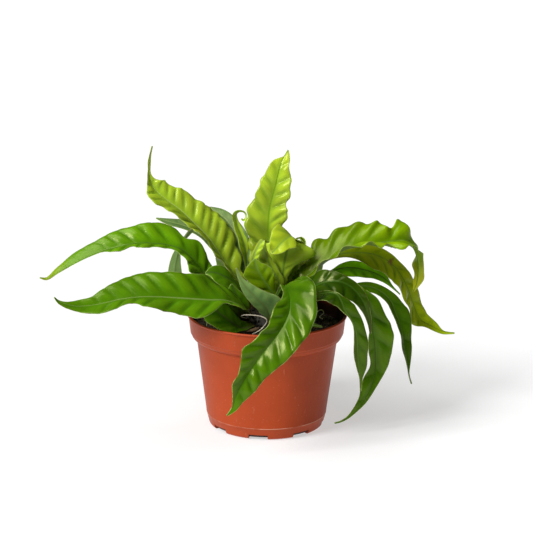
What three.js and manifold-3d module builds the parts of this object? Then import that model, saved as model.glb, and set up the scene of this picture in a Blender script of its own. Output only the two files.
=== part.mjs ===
// Wavy bird's-nest fern in a round plastic nursery pot.
// Millimetres, +Z up, origin at the middle of the pot's underside, -Y is the front.
// The pot, its soil, the crown, every frond and the loose aerial roots are solids of their own.
import * as THREE from 'three';
import Module from 'manifold-3d';
import { mergeVertices } from 'three/addons/utils/BufferGeometryUtils.js';

const wasm = await Module();
wasm.setup();

// ---- driving dimensions -------------------------------------------------------------------

const GAP = 0.3;                  // clearance between pieces that touch

const POT = {
  height: 114,
  rimRadius: 79,                  // outside of the collar at its top
  collarRadius: 76.4,             // outside of the collar at its lower edge
  collarLow: 95,                  // height of the collar's lower edge
  bodyTopRadius: 70,              // outside of the body under the collar
  bodyTop: 88.6,
  shoulderWidth: 3.6,             // first, flatter part of the step from body to collar
  shoulderHeight: 1.2,
  mouldLineRadius: 60.2,          // where the slanted body meets the foot
  mouldLine: 12.1,
  footRadius: 58,
  footRound: 3,
  footRoundSteps: 3,
  footWallExtra: 0.4,             // how much thicker the wall is at the floor
  wall: 1.6,
  rimWall: 2,
  floor: 2,
  rimInset: 0.5,                  // how far the collar stays inside the rim below the bead
  beadProud: 0.6,                 // rolled bead round the top edge
  beadHeight: 2.2,
  beadSlope: 0.8,
  beadTopInset: 0.3,
  segments: 64,
};

const NOTCH = {                   // drain openings cut through the foot
  count: 8,
  first: -98,                     // degrees round the pot
  width: 19,
  height: 5,
  reach: 9,                       // how far one runs in under the floor's edge
};

const SOIL = {
  wallHeight: 99.6,               // top of the soil at the pot's wall
  crownHeight: 103.6,             // and under the crown
  crownFlat: 25,                  // radius of the level middle
  shoulders: [62, 44],            // radii of the turns between the wall and the middle
  wallGap: 0.4,
  segments: 40,
};

const CROWN = { centre: 94, radius: 26, rings: 7, segments: 32 };

const FROND = {
  steps: 24,                      // sections along a full-size frond
  shortSteps: 14,
  shortLength: 110,
  measures: 300,                  // points at which a midrib is measured before it is divided
  ribHalf: 0.65,                  // half thickness at the midrib
  edgeHalf: 0.35,                 // and at the margins
  fold: 20,                       // degrees that each half rises from the midrib
  neck: 8,                        // straight start out of the crown
  leastHalfWidth: 0.7,
};

const ROOT = { sides: 6, stepsPerPoint: 3 };

// Each frond: where it leaves the crown (degrees round, degrees up), the points that its midrib
// passes through after the neck, then its width left and right of the midrib (half where both are
// alike) and its roll (degrees about the midrib) at even spacing from base to tip. heading is set
// where the frond's own direction is too steep.
const FRONDS = [
  { name: 'left_high_frond', tone: 'lime', root: [150, 48],
    spine: [[-32.5, 20, 144.4], [-45.8, 28, 160.8], [-58.1, 36, 177.8], [-73.4, 44, 192.2],
      [-88.8, 50, 205.6], [-102, 54, 214.4], [-115.8, 58, 226.3], [-119.9, 60, 238.2],
      [-120.1, 61, 247.3], [-119.5, 62, 257.3], [-117.3, 63, 268.4]],
    left: [2.4, 3.1, 5.4, 9.5, 14.1, 18, 19.8, 21, 21.7, 22.5, 24.9, 25.7, 22.1, 21, 21.1, 22.7,
      21.7, 15.1, 19.8, 18.2, 8.9, 4.2, 2.2, 2.9, 1.5, 1],
    right: [2.4, 3.1, 5.4, 9.7, 10.8, 10, 19.2, 20.8, 23.3, 26.8, 27, 26, 26.5, 24.7, 22.3, 20.1,
      19.5, 18.9, 15.2, 14, 13.5, 3.9, 1.5, 1.6, 1.1, 1],
    roll: [-1, -3, -5, -19, -35, -27], fold: 30 },
  { name: 'left_mid_frond', tone: 'green', root: [176, 24],
    spine: [[-52, 2, 140.9], [-61.5, 3, 150.4], [-68.9, 4, 159.8], [-76.8, 4.5, 169.3],
      [-86.7, 4, 177], [-98.5, 3, 180.9], [-111.2, 1, 182.9], [-125.8, -1, 183.7],
      [-140.4, -3, 181.9], [-153.1, -5, 179], [-164.8, -7, 176.1], [-179.4, -9, 170.4],
      [-194.1, -11, 162.7], [-206.8, -13, 155.5], [-216.7, -13.5, 149.9], [-224, -14, 151]],
    left: [2.4, 3.4, 5.2, 7.7, 10.3, 12.7, 16.2, 22.9, 27.7, 15.2, 9.5, 7.7, 10, 10, 12.7, 6.7,
      12.9, 11.2, 3, 2.9, 2.9, 2.5, 2.1, 2.5, 4.4, 1],
    right: [2.4, 3.4, 5.2, 7.9, 10.6, 12.8, 13.9, 14.2, 17.6, 20.4, 14.5, 22.5, 24.5, 24.7, 23,
      20.5, 20.8, 18.9, 15.5, 14.6, 13.3, 11.9, 9, 6.6, 3.1, 1],
    roll: [-7, -23, -32, -28, -23, -19, -19], fold: 24 },
  { name: 'left_low_frond', tone: 'green', root: [-130, 42],
    spine: [[-26.6, -32, 129.4], [-41, -44, 138], [-57.2, -51, 140.5], [-74.4, -56, 143],
      [-93.4, -60, 145.2], [-112.3, -64, 146.9], [-126.5, -66, 146.7], [-140.7, -68, 145.1],
      [-153, -70, 142.8], [-166.2, -72, 140.5], [-180.4, -74, 139.8], [-191.6, -76, 142.4],
      [-199, -77, 145.6], [-202.6, -78, 149.6]],
    left: [2.4, 6.4, 12.2, 15.9, 8.1, 20.4, 30, 27.7, 24.8, 25.2, 23.7, 11.5, 13.4, 16.4, 14.4, 9.7,
      6.6, 1],
    right: [2.4, 6.2, 13.1, 22.6, 22.7, 30, 27.9, 27, 28.6, 29, 29.4, 26.4, 20.9, 15.6, 9.5, 7.3,
      2.8, 1],
    roll: [-10, -14, -40, -24, -31, -37], fold: 20 },
  { name: 'top_frond', tone: 'lime', root: [70, 84],
    spine: [[-0.6, 10, 156.7], [0, 14, 172.1], [0.2, 18, 185.5], [0.3, 21, 198], [1.4, 24, 212.6],
      [3.8, 26, 223.4], [6.7, 28, 234.2], [9.1, 30, 244.9], [11.4, 32, 254.6], [14.3, 34.5, 262.2],
      [19.5, 36, 271.1]],
    left: [2.4, 6, 9.6, 13.1, 16.1, 18.3, 19.4, 19.5, 18.9, 18.9, 21.7, 24, 22.3, 20.2, 19.3, 17.4,
      15.4, 13.6, 11.4, 8.8, 0.8, 0.8],
    right: [2.4, 5.9, 9.5, 13, 16.1, 18.6, 20.2, 20.8, 20.2, 18.6, 16.6, 16.7, 20.3, 20.7, 17.7,
      18.3, 16.5, 15.8, 12.1, 9.3, 7.2, 0.8],
    roll: [-10, -5, -1, 5, 11], heading: 70, fold: 15 },
  { name: 'curled_young_frond', tone: 'lime', root: [170, 66],
    spine: [[-18.8, 6, 145.3], [-20.9, 5, 156.9], [-21.7, 5, 166.1], [-22.2, 5, 174.3],
      [-23.5, 6, 181.1], [-26, 7, 189], [-29.2, 8, 196.9], [-31.8, 9, 203.7], [-32.9, 9, 209.3],
      [-31.6, 9, 213.4], [-27.6, 8, 215.6], [-23, 7, 214.4], [-21.4, 5, 210.9], [-23.1, 3, 207.3],
      [-26.5, 2, 208.5]],
    left: [2.2, 2.5, 2.7, 2.5, 1.9, 1.6, 2.8, 5.3, 8.7, 9.6, 8, 6.8, 5.1, 5.5, 6, 4.5, 1],
    right: [2.2, 2.7, 3, 3, 2.4, 1.6, 1.6, 1.6, 3.9, 4.9, 3.8, 3.8, 3.1, 1.9, 1.5, 1.1, 1],
    roll: [-45, -45, -46, -47, -49, -49], heading: 170, fold: 35 },
  { name: 'short_right_frond', tone: 'lime', root: [-20, 66],
    spine: [[16.4, -8, 144.4], [14.8, -9, 152.8], [15.2, -8, 161.7], [17.1, -6, 170.4],
      [19, -4, 179], [20.1, -2.5, 184.8], [20.2, -1, 188.9]],
    left: [2.4, 3.2, 4.6, 6.3, 6.4, 2.1, 4.5, 10.5, 17.1, 19.9, 19.3, 1],
    right: [2.4, 3.3, 4.2, 3.9, 1.6, 4.8, 7.9, 10, 15.4, 25.6, 29, 1],
    roll: [0, 4, 6, 6], heading: 90, fold: -8 },
  { name: 'yellow_frond', tone: 'yellow', root: [20, 78],
    spine: [[16.4, 10, 146.6], [21.3, 16, 161.5], [25.1, 17, 175.7], [26.4, 9, 185.4],
      [22.8, 1, 191.7], [17.8, -6, 190.7], [12, -11, 186.4], [7.1, -14, 181.5], [3.2, -16, 177.5]],
    left: [2.2, 2.7, 3.6, 5.2, 7.7, 10.4, 12.9, 14.6, 15.2, 14.6, 12.3, 6.3, 13.6, 10.4, 7.6, 1],
    right: [2.2, 2.7, 3.6, 5.2, 7.7, 10.5, 13, 14.6, 14.1, 10.6, 6.2, 16.7, 16.8, 14.1, 8.8, 1],
    roll: [2, 0, -7, -23, -28, -5], heading: -110, fold: 10 },
  { name: 'inner_frond', tone: 'lime', root: [-75, 76],
    spine: [[11.4, -11, 146.2], [6.4, -12, 157.6], [1.4, -12.5, 167.9], [-2.4, -13, 178.1],
      [-4.2, -13, 185.2], [-3.7, -13.5, 190.9]],
    left: [2.4, 3.9, 5.1, 6.1, 7.5, 10.3, 10.3, 4.2, 1],
    right: [2.4, 4.2, 5.4, 5.8, 5.8, 5.7, 3.9, 2.5, 1],
    roll: [0, 0, 0, 0], heading: 90, fold: 14 },
  { name: 'crisped_frond', tone: 'lime', root: [-140, 66],
    spine: [[-10.7, -11, 137.8], [-12.2, -15, 152.2], [-16.2, -18, 162.6], [-14.3, -19, 173.5],
      [-11.4, -19, 182.7], [-7.6, -18, 189.2], [-3.7, -17, 191.6], [0.7, -16, 189.6]],
    left: [2.2, 2.6, 3, 3, 2.5, 1.8, 1.7, 2.6, 2.6, 2.5, 1],
    right: [2.2, 2.6, 2.9, 2.7, 1.9, 1.6, 2, 4.7, 5.3, 5.1, 1],
    roll: [0, 0, 0, 0, 1, 2], heading: 90, fold: 16 },
  { name: 'centre_frond', tone: 'bright', root: [-60, 62],
    spine: [[7.5, -21, 135.7], [2.1, -25, 146], [-3.9, -27, 155.1], [-8.6, -28, 163.9],
      [-11.3, -28, 170.4], [-12.3, -28, 176]],
    left: [2.4, 6, 8.8, 10.5, 11.2, 12.9, 14.6, 0.9],
    right: [2.4, 3.6, 3.9, 4, 9, 13.6, 9.5, 1],
    roll: [0, -1, 0, 4], heading: 90, fold: 12 },
  { name: 'front_frond', tone: 'green', root: [-85, 48],
    spine: [[9.4, -34, 139.5], [16.4, -52, 155.7], [20, -68, 152.8], [21.4, -79, 146.6],
      [20.7, -87, 140], [16.9, -94, 132.2], [11.3, -100, 124.1], [4.3, -105, 115.3],
      [-4.1, -109, 106.1], [-11.5, -112, 96.2], [-18.4, -114, 85.9], [-25, -115, 74.3],
      [-29.6, -116, 63.6], [-32.1, -117, 55], [-37, -118, 46.8]],
    left: [2.4, 4.9, 7.1, 8, 7, 6.6, 17, 25.8, 30, 29, 28.5, 28, 26, 24.3, 22.8, 20.4, 16.9, 16,
      14.7, 10.3, 5.9, 1],
    right: [2.4, 2.5, 2.5, 2.5, 2.9, 3.7, 5.4, 5, 8, 14.2, 16.5, 14.8, 14, 15.6, 15.1, 20.3, 14.7,
      10, 10.1, 4, 0.8, 1],
    roll: [10, 13, 8, -20, -29, -30, -29], fold: 26 },
  { name: 'grey_frond', tone: 'grey', root: [-84, 28],
    spine: [[-0.7, -40, 129.5], [-8.5, -45, 139.4], [-16.3, -48, 148.6], [-22.3, -50, 156.3],
      [-26.7, -51, 164.3], [-30, -52, 173.2]],
    left: [2.4, 1.6, 3.3, 8.3, 8.6, 7.7, 7.1, 4.6, 2.3, 1],
    right: [2.4, 9.2, 15.7, 20.5, 19.4, 14.1, 8.9, 5.4, 1.8, 1],
    roll: [0, 1, 0, 0, 0], heading: 90, fold: 14 },
  { name: 'low_left_frond', tone: 'dark', root: [-146, 32],
    spine: [[-27, -17.5, 118], [-27.8, -18.2, 124.3], [-29.3, -18.6, 131.6], [-31.3, -18.5, 138.2],
      [-33.9, -18.2, 144.2], [-35.7, -18, 147.7]],
    left: [2.4, 3.8, 5.5, 8.8, 10.2, 10.5, 9.5, 1],
    right: [2.4, 3, 6.5, 11.6, 10, 6.9, 3.3, 1],
    roll: [0, 0, 0, 0], heading: 110, fold: 8 },
  { name: 'soil_left_frond', tone: 'dark', root: [-116, 25],
    spine: [[-22.5, -36.5, 108.1], [-29.8, -40.5, 111.6], [-36.1, -43.5, 116.8],
      [-41.8, -45.5, 122.1], [-47.7, -46.5, 126.9], [-54.4, -46.5, 132.4], [-60.3, -45.5, 137.6]],
    left: [2.4, 2.4, 2.6, 6, 15.2, 19.8, 20.5, 20.7, 1],
    right: [2.4, 6.4, 11.7, 10.5, 11.9, 13.6, 14.9, 14.3, 1],
    roll: [-2, -31, -45, -48, -50], fold: 12 },
  { name: 'soil_right_frond', tone: 'dark', root: [-60, 24],
    spine: [[26, -38, 113], [40, -45, 114.5], [54, -43, 112]],
    half: [2.4, 5, 6, 4, 1],
    roll: [0, 20, 20] },
  { name: 'right_high_frond', tone: 'bright', root: [4, 66],
    spine: [[33.2, 0, 146.4], [44, 2, 154.2], [53.9, 4, 162.4], [63.7, 6.5, 169.5],
      [73.6, 8, 175.4], [83.4, 9, 179.3], [94.4, 11, 181.2], [106.3, 13, 182.2], [118.4, 16, 182.7],
      [129.6, 20, 183.5], [138.9, 25, 181.6], [146, 30, 173.4], [150, 33, 163.3],
      [151.9, 34, 153.7], [152.1, 35, 144.1], [150.6, 35.5, 134.5], [147.6, 36, 125.9]],
    left: [2.4, 3.4, 4.6, 6.5, 8.9, 11.2, 13.5, 15.6, 17.2, 28, 28, 22.6, 27.1, 28, 28, 27.2, 22.9,
      24.7, 17.6, 14.8, 23.1, 10.6, 6.6, 9.1, 11.4, 10.9, 10.6, 9.6, 7.1, 1],
    right: [2.4, 3.4, 4.6, 6.5, 8.9, 11.2, 13.5, 15.6, 17.4, 19, 20.2, 20.9, 21.4, 21.6, 21.9, 22.3,
      21.1, 19, 20.7, 23.4, 19.6, 14.7, 13.2, 10.6, 7.3, 5.9, 5.9, 6.7, 3.4, 1],
    roll: [2, 14, 9, 8, 12, 31, 26, -39, -38], fold: 34 },
  { name: 'right_far_frond', tone: 'olive', root: [24, 44],
    spine: [[32.6, 26, 145.4], [50.6, 31, 156.7], [68.7, 36, 163.4], [87, 40, 165.1],
      [104.4, 44, 163.1], [119.8, 46, 156.5], [131.4, 48, 145.6], [139.9, 48, 131.9],
      [145.9, 48, 117.2], [150.8, 47, 103.7], [157.1, 46, 93.4], [167.3, 44, 87.7],
      [178.5, 42, 83.1], [191.2, 40, 81.4]],
    left: [2.4, 3.9, 5.7, 7.8, 9.8, 11.2, 12.1, 12.8, 13.6, 14.4, 14.9, 13.9, 10, 8.9, 8.7, 10.9,
      11.5, 12.8, 11.6, 11, 9.2, 6.3, 0.8, 1],
    right: [2.4, 3.9, 5.8, 8, 9.9, 10.1, 7.2, 4.8, 6, 8.2, 12.8, 18.5, 20.2, 19.9, 17.4, 17.8, 13.1,
      14.2, 12.2, 19, 6.6, 4.9, 3.8, 1],
    roll: [-1, 11, 25, 40, 50, 51, 50, 50], fold: 18 },
  { name: 'right_mid_frond', tone: 'green', root: [36, 24],
    spine: [[48.7, 24, 139.9], [60.9, 32, 146.1], [73.1, 38, 148.8], [85.4, 42, 148.9],
      [97.7, 44, 146.3], [109, 45, 142.5], [118.2, 45, 137.3], [126.5, 44, 129.8],
      [134.7, 43, 121.2]],
    left: [2.2, 3.2, 4, 4.5, 4.2, 2.9, 1.7, 5.5, 8.2, 8.6, 7.4, 5.7, 1.1, 1],
    right: [2.2, 3, 4, 5.2, 6.5, 7.9, 9.4, 11.2, 12.9, 12, 8.9, 7.1, 4.2, 1],
    roll: [1, 20, 34, 40, 40, 35], fold: 15 },
  { name: 'right_thin_frond', tone: 'dark', root: [-4, 26],
    spine: [[58.3, 4, 133.1], [74.2, 7, 136.6], [90.2, 9, 138.7], [100.2, 10, 138.6],
      [109.3, 10, 135.5], [117.3, 9, 130.2], [123.4, 8, 123.3], [127.5, 6, 113.5],
      [131.4, 4, 103.7], [134.7, 1, 93.2], [136.4, -1, 82.3], [138.6, -3, 71.5], [140.7, -5, 60.6],
      [142.4, -7, 50.8], [144.8, -8, 42.7]],
    left: [2.2, 3.2, 4.2, 4.9, 5.1, 4.5, 3.5, 4.4, 5.5, 7, 9.6, 13.8, 13, 10, 8.5, 5.1, 1.2, 1],
    right: [2.2, 3.1, 4.1, 5.3, 6.6, 7.7, 8.5, 8.6, 7.5, 6.9, 6.3, 5, 4.7, 3.2, 4.5, 2, 1.1, 1],
    roll: [2, 24, 40, 49, 50, 46, 40], fold: 24 },
  { name: 'right_big_frond', tone: 'dark', root: [-18, 48],
    spine: [[50, -8, 134.4], [66.5, -12, 144.9], [81.1, -15, 148], [92.9, -18, 142.8],
      [98.9, -20, 131.2], [101.9, -21, 117.1], [103.9, -22, 103.1], [106.2, -23, 87.9],
      [107.4, -24, 72.7], [107.1, -26, 59.9], [103.8, -29, 47.3], [98.5, -32, 36.8],
      [91.1, -36, 26.7], [82.2, -39, 18.8], [73.8, -41, 14.4], [67.4, -42, 12.9]],
    left: [2.4, 4, 5.6, 6.8, 7.2, 6.2, 3.9, 2.4, 10.3, 14, 18.8, 21, 17.5, 14, 8.3, 4.7, 3.5, 1.6,
      1.3, 1],
    right: [2.4, 3.8, 5.3, 7.1, 8.9, 10.7, 11.9, 12.1, 10.7, 7.3, 3.4, 6.3, 7.2, 5.8, 9.8, 11.1,
      6.9, 4.6, 1.7, 1],
    roll: [0, 10, 21, 35, 48, 59, 64, 66], fold: 24 },
  { name: 'right_upper_frond', tone: 'dark', root: [-46, 48],
    spine: [[31.9, -27, 138.7], [43.5, -31, 148], [55.9, -35, 154.8], [68.4, -38, 156.8],
      [79, -40, 153.4], [87.8, -42, 145.5], [93.8, -43, 135.8], [97.9, -43, 124.7],
      [100.1, -43, 114.6], [100.7, -42, 105.6]],
    left: [2.4, 6.7, 10.8, 14, 15.7, 15.5, 11.7, 7.4, 6.8, 6.2, 3.7, 2.2, 1],
    right: [2.4, 3, 3.7, 5, 8.1, 13.9, 20, 20.7, 14.9, 9, 5.2, 3, 1],
    roll: [0, 16, 32, 46, 53, 56], fold: 18 },
  { name: 'right_inner_frond', tone: 'dark', root: [-36, 24],
    spine: [[33.7, -43, 137.2], [44.9, -57, 146.4], [56, -67, 153], [65.3, -73, 154.1],
      [70.1, -76, 148.1], [73.5, -78, 139.8], [78.8, -80, 132.5], [83.7, -82, 123.2],
      [85.8, -83, 111.6], [86.5, -83, 98.6], [87.8, -82, 86.3], [89.5, -81, 73.9],
      [90.6, -80, 59.4]],
    left: [2.2, 3.1, 4, 5.1, 6.1, 6.5, 5.2, 2.9, 2.7, 10.7, 10.5, 9.4, 11, 9.9, 7.9, 2.5, 1],
    right: [2.2, 3.9, 5.9, 8.1, 10.6, 13.2, 15.3, 16, 12.9, 4.2, 0.8, 2.2, 3.6, 4, 2.6, 0.9, 1],
    roll: [0, 16, 30, 40, 44, 46], fold: 20 },
  { name: 'dark_left_frond', tone: 'dark', root: [-164, 46],
    spine: [[-29.1, -2, 140.2], [-37, -6, 148.4], [-44.8, -9, 153.8], [-53.6, -11, 157.3],
      [-61.4, -12, 156.7]],
    left: [2.2, 5.7, 8.8, 11.3, 13, 13.6, 11.7, 1],
    right: [2.2, 4.1, 4.9, 4.1, 3.6, 9.1, 8.5, 1],
    roll: [-4, -26, -38, -43, -44], fold: 18 },
  { name: 'hanging_left_frond', tone: 'grey', root: [132, 46],
    spine: [[-31.8, 36, 141], [-46.3, 48, 160.7], [-58.8, 58, 174.8], [-69.2, 65, 181.3],
      [-78.5, 70, 180], [-85.1, 73, 170.7], [-90.8, 75, 158.5], [-94, 76, 146.5],
      [-95.7, 76, 134.8], [-96.9, 75, 123.3], [-98.5, 74, 112.8]],
    left: [2, 1.7, 1.6, 1.6, 1.6, 1.6, 0.9, 1.3, 2.7, 7.1, 8.2, 1],
    right: [2, 1.7, 1.6, 1.6, 1.9, 2.6, 3.3, 3.3, 0.8, 5.1, 8.2, 1],
    roll: [0, 10, 21, 41, 68, 81, 81], fold: 14 },
  { name: 'thin_left_frond', tone: 'grey', root: [110, 26],
    spine: [[-32.1, 52, 140.9], [-44.6, 64, 152.3], [-57.2, 74, 162.8], [-68.8, 82, 171.3],
      [-79.8, 88, 177.1], [-90.8, 92, 180.2], [-103.4, 95, 182.6], [-115.9, 98, 185.2]],
    left: [2, 3.4, 4.6, 5.3, 5.3, 4.9, 3.2, 5.6, 6.6, 1],
    right: [2, 3.3, 4.6, 5.8, 6.9, 8, 8.8, 8.7, 5.6, 1],
    roll: [-1, -10, -18, -20, -22, -21], fold: 14 },
  { name: 'back_grey_frond', tone: 'grey', root: [100, 46],
    spine: [[-21.8, 40, 154.7], [-29.1, 50, 170.8], [-35.5, 62, 182.4], [-42.9, 74, 189.8],
      [-50.3, 83, 193.9], [-58.2, 90, 196.6], [-65.1, 95, 198.3]],
    left: [2.2, 5.4, 8.6, 11.4, 12.8, 12.4, 10, 6, 1],
    right: [2.2, 5.4, 8.5, 11, 12, 11.2, 9, 6.7, 1],
    roll: [-1, -14, -23, -27], fold: 15 },
  { name: 'crozier_frond', tone: 'lime', root: [72, 66],
    spine: [[29, 42, 152], [35.5, 44, 165], [37.2, 44, 172], [36.3, 43.5, 176.8], [33.3, 43, 179.6],
      [30, 42.5, 179.6], [28.2, 42, 178], [29.3, 42, 176.4], [31, 42, 176.8]],
    half: [2, 2.6, 3.2, 3.6, 3.8, 3.6, 3, 2.4, 1.4],
    roll: [0, 0], heading: -60, fold: 30 },
  { name: 'back_left_frond', tone: 'green', root: [92, 24],
    spine: [[-16, 60, 142], [-26, 92, 156], [-36, 122, 150], [-44, 146, 126], [-50, 160, 96]],
    half: [2.4, 6, 12, 16, 18, 18, 15, 9, 1],
    roll: [0, 0, 0] },
  { name: 'back_middle_frond', tone: 'bright', root: [76, 30],
    spine: [[12, 52, 146], [16, 80, 158], [19, 108, 154], [21, 132, 136], [22, 150, 106]],
    half: [2.4, 6, 12, 17, 19, 18, 15, 9, 1],
    roll: [0, 0, 0] },
  { name: 'back_right_frond', tone: 'dark', root: [66, 26],
    spine: [[24, 52, 140], [34, 80, 150], [43, 106, 145], [49, 126, 126], [52, 140, 98]],
    half: [2.4, 6, 11, 15, 16, 15, 12, 7, 1],
    roll: [0, 0, 0] },
];

// Loose aerial roots and the dry stub of an old frond: centre line points, and the radius at even
// spacing along them.
const ROOTS = [
  { name: 'looped_root', color: 0xcfc3a4, radius: [0.5, 0.55, 0.55, 0.5, 0.4],
    path: [[-14, -41, 103.7], [-7, -42, 108], [-1, -43, 115], [-1, -44, 120], [-8, -44, 123],
      [-20, -44, 124], [-25, -41, 122], [-24, -34, 118.5], [-20, -29, 116]] },
  { name: 'left_wall_root', color: 0xb9ab8c, radius: [0.4, 0.5, 0.3],
    path: [[-54, -43, 100.8], [-57, -45, 106], [-59, -45.5, 112], [-58, -43, 116]] },
  { name: 'left_soil_root', color: 0xb9ab8c, radius: [0.4, 0.5, 0.3],
    path: [[-43, -50, 101.2], [-46, -50, 106], [-49, -48, 112], [-53, -44, 114]] },
  { name: 'right_soil_root', color: 0x9c8f6c, radius: [0.4, 0.5, 0.4],
    path: [[44, 20, 103.1], [50, 29, 106], [55, 33, 107], [57, 30, 104.5], [53, 22, 103],
      [57, 14, 102.3]] },
  { name: 'dry_stub', color: 0x6b5236, radius: [1.6, 1.8, 1.2, 0.5],
    path: [[-8.5, -31, 106.2], [-13.5, -34, 105.4], [-18.5, -36, 105], [-22.5, -38, 104.7]] },
];

const TONES = {                   // frond colours, newest to oldest
  yellow: 0xb9c92a,
  lime: 0x8cb81e,
  bright: 0x63a313,
  green: 0x4a8f12,
  olive: 0x6f8f1c,
  dark: 0x2f6418,
  grey: 0x5f7a4c,
};

// ---- helpers ------------------------------------------------------------------------------

const radians = THREE.MathUtils.degToRad;

function paint(color, roughness, metalness = 0) {
  return new THREE.MeshStandardMaterial({ color, roughness, metalness });
}

function asSolid(geometry) {
  const bare = geometry.clone();
  bare.deleteAttribute('normal');
  bare.deleteAttribute('uv');
  const merged = mergeVertices(bare, 1e-4);
  return new wasm.Manifold(new wasm.Mesh({
    numProp: 3,
    vertProperties: new Float32Array(merged.attributes.position.array),
    triVerts: new Uint32Array(merged.index.array),
  }));
}

function asGeometry(solid) {
  const mesh = solid.getMesh();
  const geometry = new THREE.BufferGeometry();
  geometry.setAttribute('position', new THREE.BufferAttribute(mesh.vertProperties, 3));
  geometry.setIndex(new THREE.BufferAttribute(mesh.triVerts, 1));
  geometry.computeVertexNormals();
  return geometry;
}

// A closed profile of [radius, height] points turned round Z.
function turned(profile, segments) {
  const points = profile.map(([r, h]) => new THREE.Vector2(r, h));
  return new THREE.LatheGeometry(points, segments).rotateX(Math.PI / 2);
}

function namedMesh(name, geometry, material) {
  const mesh = new THREE.Mesh(geometry, material);
  mesh.name = name;
  return mesh;
}

// ---- pot ----------------------------------------------------------------------------------

// Inner radius of the pot at a height, used by the soil too.
function innerRadius(height) {
  const stations = [
    [POT.floor, POT.footRadius - POT.wall - POT.footWallExtra],
    [POT.mouldLine, POT.mouldLineRadius - POT.wall],
    [POT.bodyTop, POT.bodyTopRadius - POT.wall],
    [POT.collarLow, POT.collarRadius - POT.wall],
    [POT.height, POT.rimRadius - POT.rimWall],
  ];
  const above = Math.max(1, stations.findIndex(([h]) => h >= height));
  const [h0, r0] = stations[above - 1];
  const [h1, r1] = stations[above];
  return THREE.MathUtils.lerp(r0, r1, (height - h0) / (h1 - h0));
}

function footRoundPoints() {
  const points = [];
  for (let i = 0; i <= POT.footRoundSteps; i += 1) {
    const angle = (i / POT.footRoundSteps) * Math.PI / 2;
    points.push([
      POT.footRadius - POT.footRound + POT.footRound * Math.sin(angle),
      POT.footRound - POT.footRound * Math.cos(angle),
    ]);
  }
  return points;
}

function potProfile() {
  const beadLow = POT.height - POT.beadHeight;
  const collarTopRadius = POT.rimRadius - POT.rimInset;
  const beadRadius = collarTopRadius + POT.beadProud;
  const outside = [
    [0, 0],
    ...footRoundPoints(),
    [POT.mouldLineRadius, POT.mouldLine],
    [POT.bodyTopRadius, POT.bodyTop],
    [POT.bodyTopRadius + POT.shoulderWidth, POT.bodyTop + POT.shoulderHeight],
    [POT.collarRadius, POT.collarLow],
    [collarTopRadius, beadLow],
    [beadRadius, beadLow + POT.beadSlope],
    [beadRadius - POT.beadTopInset, POT.height],
  ];
  const inside = [POT.height, POT.collarLow, POT.bodyTop, POT.mouldLine, POT.floor]
    .map((height) => [innerRadius(height), height]);
  return [...outside, ...inside, [0, POT.floor]];
}

function drainNotches() {
  const block = new THREE.BoxGeometry(2 * NOTCH.reach, NOTCH.width, 2 * NOTCH.height);
  const cuts = [];
  for (let i = 0; i < NOTCH.count; i += 1) {
    const angle = radians(NOTCH.first + (360 / NOTCH.count) * i);
    const placed = block.clone().translate(POT.footRadius, 0, 0).rotateZ(angle);
    cuts.push(asSolid(placed));
  }
  return cuts;
}

function makePot() {
  const blank = asSolid(turned(potProfile(), POT.segments));
  const pot = drainNotches().reduce((body, notch) => body.subtract(notch), blank);
  return namedMesh('pot', asGeometry(pot), paint(0xb8532c, 0.55));
}

// ---- soil and crown -----------------------------------------------------------------------

function soilProfile() {
  const heights = [POT.floor + GAP, POT.mouldLine, POT.bodyTop, POT.collarLow, SOIL.wallHeight];
  const side = heights.map((height) => [innerRadius(height) - SOIL.wallGap, height]);
  const wallRadius = innerRadius(SOIL.wallHeight);
  const shoulder = SOIL.shoulders.map((radius) => {
    const share = (wallRadius - radius) / (wallRadius - SOIL.crownFlat);
    const rise = Math.sin(share * Math.PI / 2);
    return [radius, THREE.MathUtils.lerp(SOIL.wallHeight, SOIL.crownHeight, rise)];
  });
  return [
    [0, heights[0]],
    ...side,
    ...shoulder,
    [SOIL.crownFlat, SOIL.crownHeight],
    [0, SOIL.crownHeight],
  ];
}

function makeSoil() {
  return namedMesh('soil', turned(soilProfile(), SOIL.segments), paint(0x231812, 0.95));
}

// The crown is the part of a ball that stands above the soil.
function crownProfile() {
  const low = SOIL.crownHeight + GAP;
  const lowAngle = Math.asin((low - CROWN.centre) / CROWN.radius);
  const points = [[0, low]];
  for (let i = 0; i < CROWN.rings; i += 1) {
    const angle = THREE.MathUtils.lerp(lowAngle, Math.PI / 2, i / CROWN.rings);
    points.push([CROWN.radius * Math.cos(angle), CROWN.centre + CROWN.radius * Math.sin(angle)]);
  }
  points.push([0, CROWN.centre + CROWN.radius]);
  return points;
}

function makeCrown() {
  return namedMesh('crown', turned(crownProfile(), CROWN.segments), paint(0x3a2a1a, 0.9));
}

// ---- fronds -------------------------------------------------------------------------------

// Catmull-Rom through values (numbers or vectors as arrays) at t from 0 to 1.
function smoothAt(values, t) {
  const rows = values.map((value) => (Array.isArray(value) ? value : [value]));
  const last = rows.length - 1;
  const mirrorEnd = (end, next) => end.map((value, k) => 2 * value - next[k]);
  const padded = [mirrorEnd(rows[0], rows[1]), ...rows, mirrorEnd(rows[last], rows[last - 1])];
  const place = Math.min(t * last, last - 1e-9);
  const i = Math.floor(place);
  const f = place - i;
  return rows[0].map((_, k) => {
    const [a, b, c, d] = [0, 1, 2, 3].map((j) => padded[i + j][k]);
    return 0.5 * (2 * b + (c - a) * f + (2 * a - 5 * b + 4 * c - d) * f ** 2
      + (3 * b - a - 3 * c + d) * f ** 3);
  });
}

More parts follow.
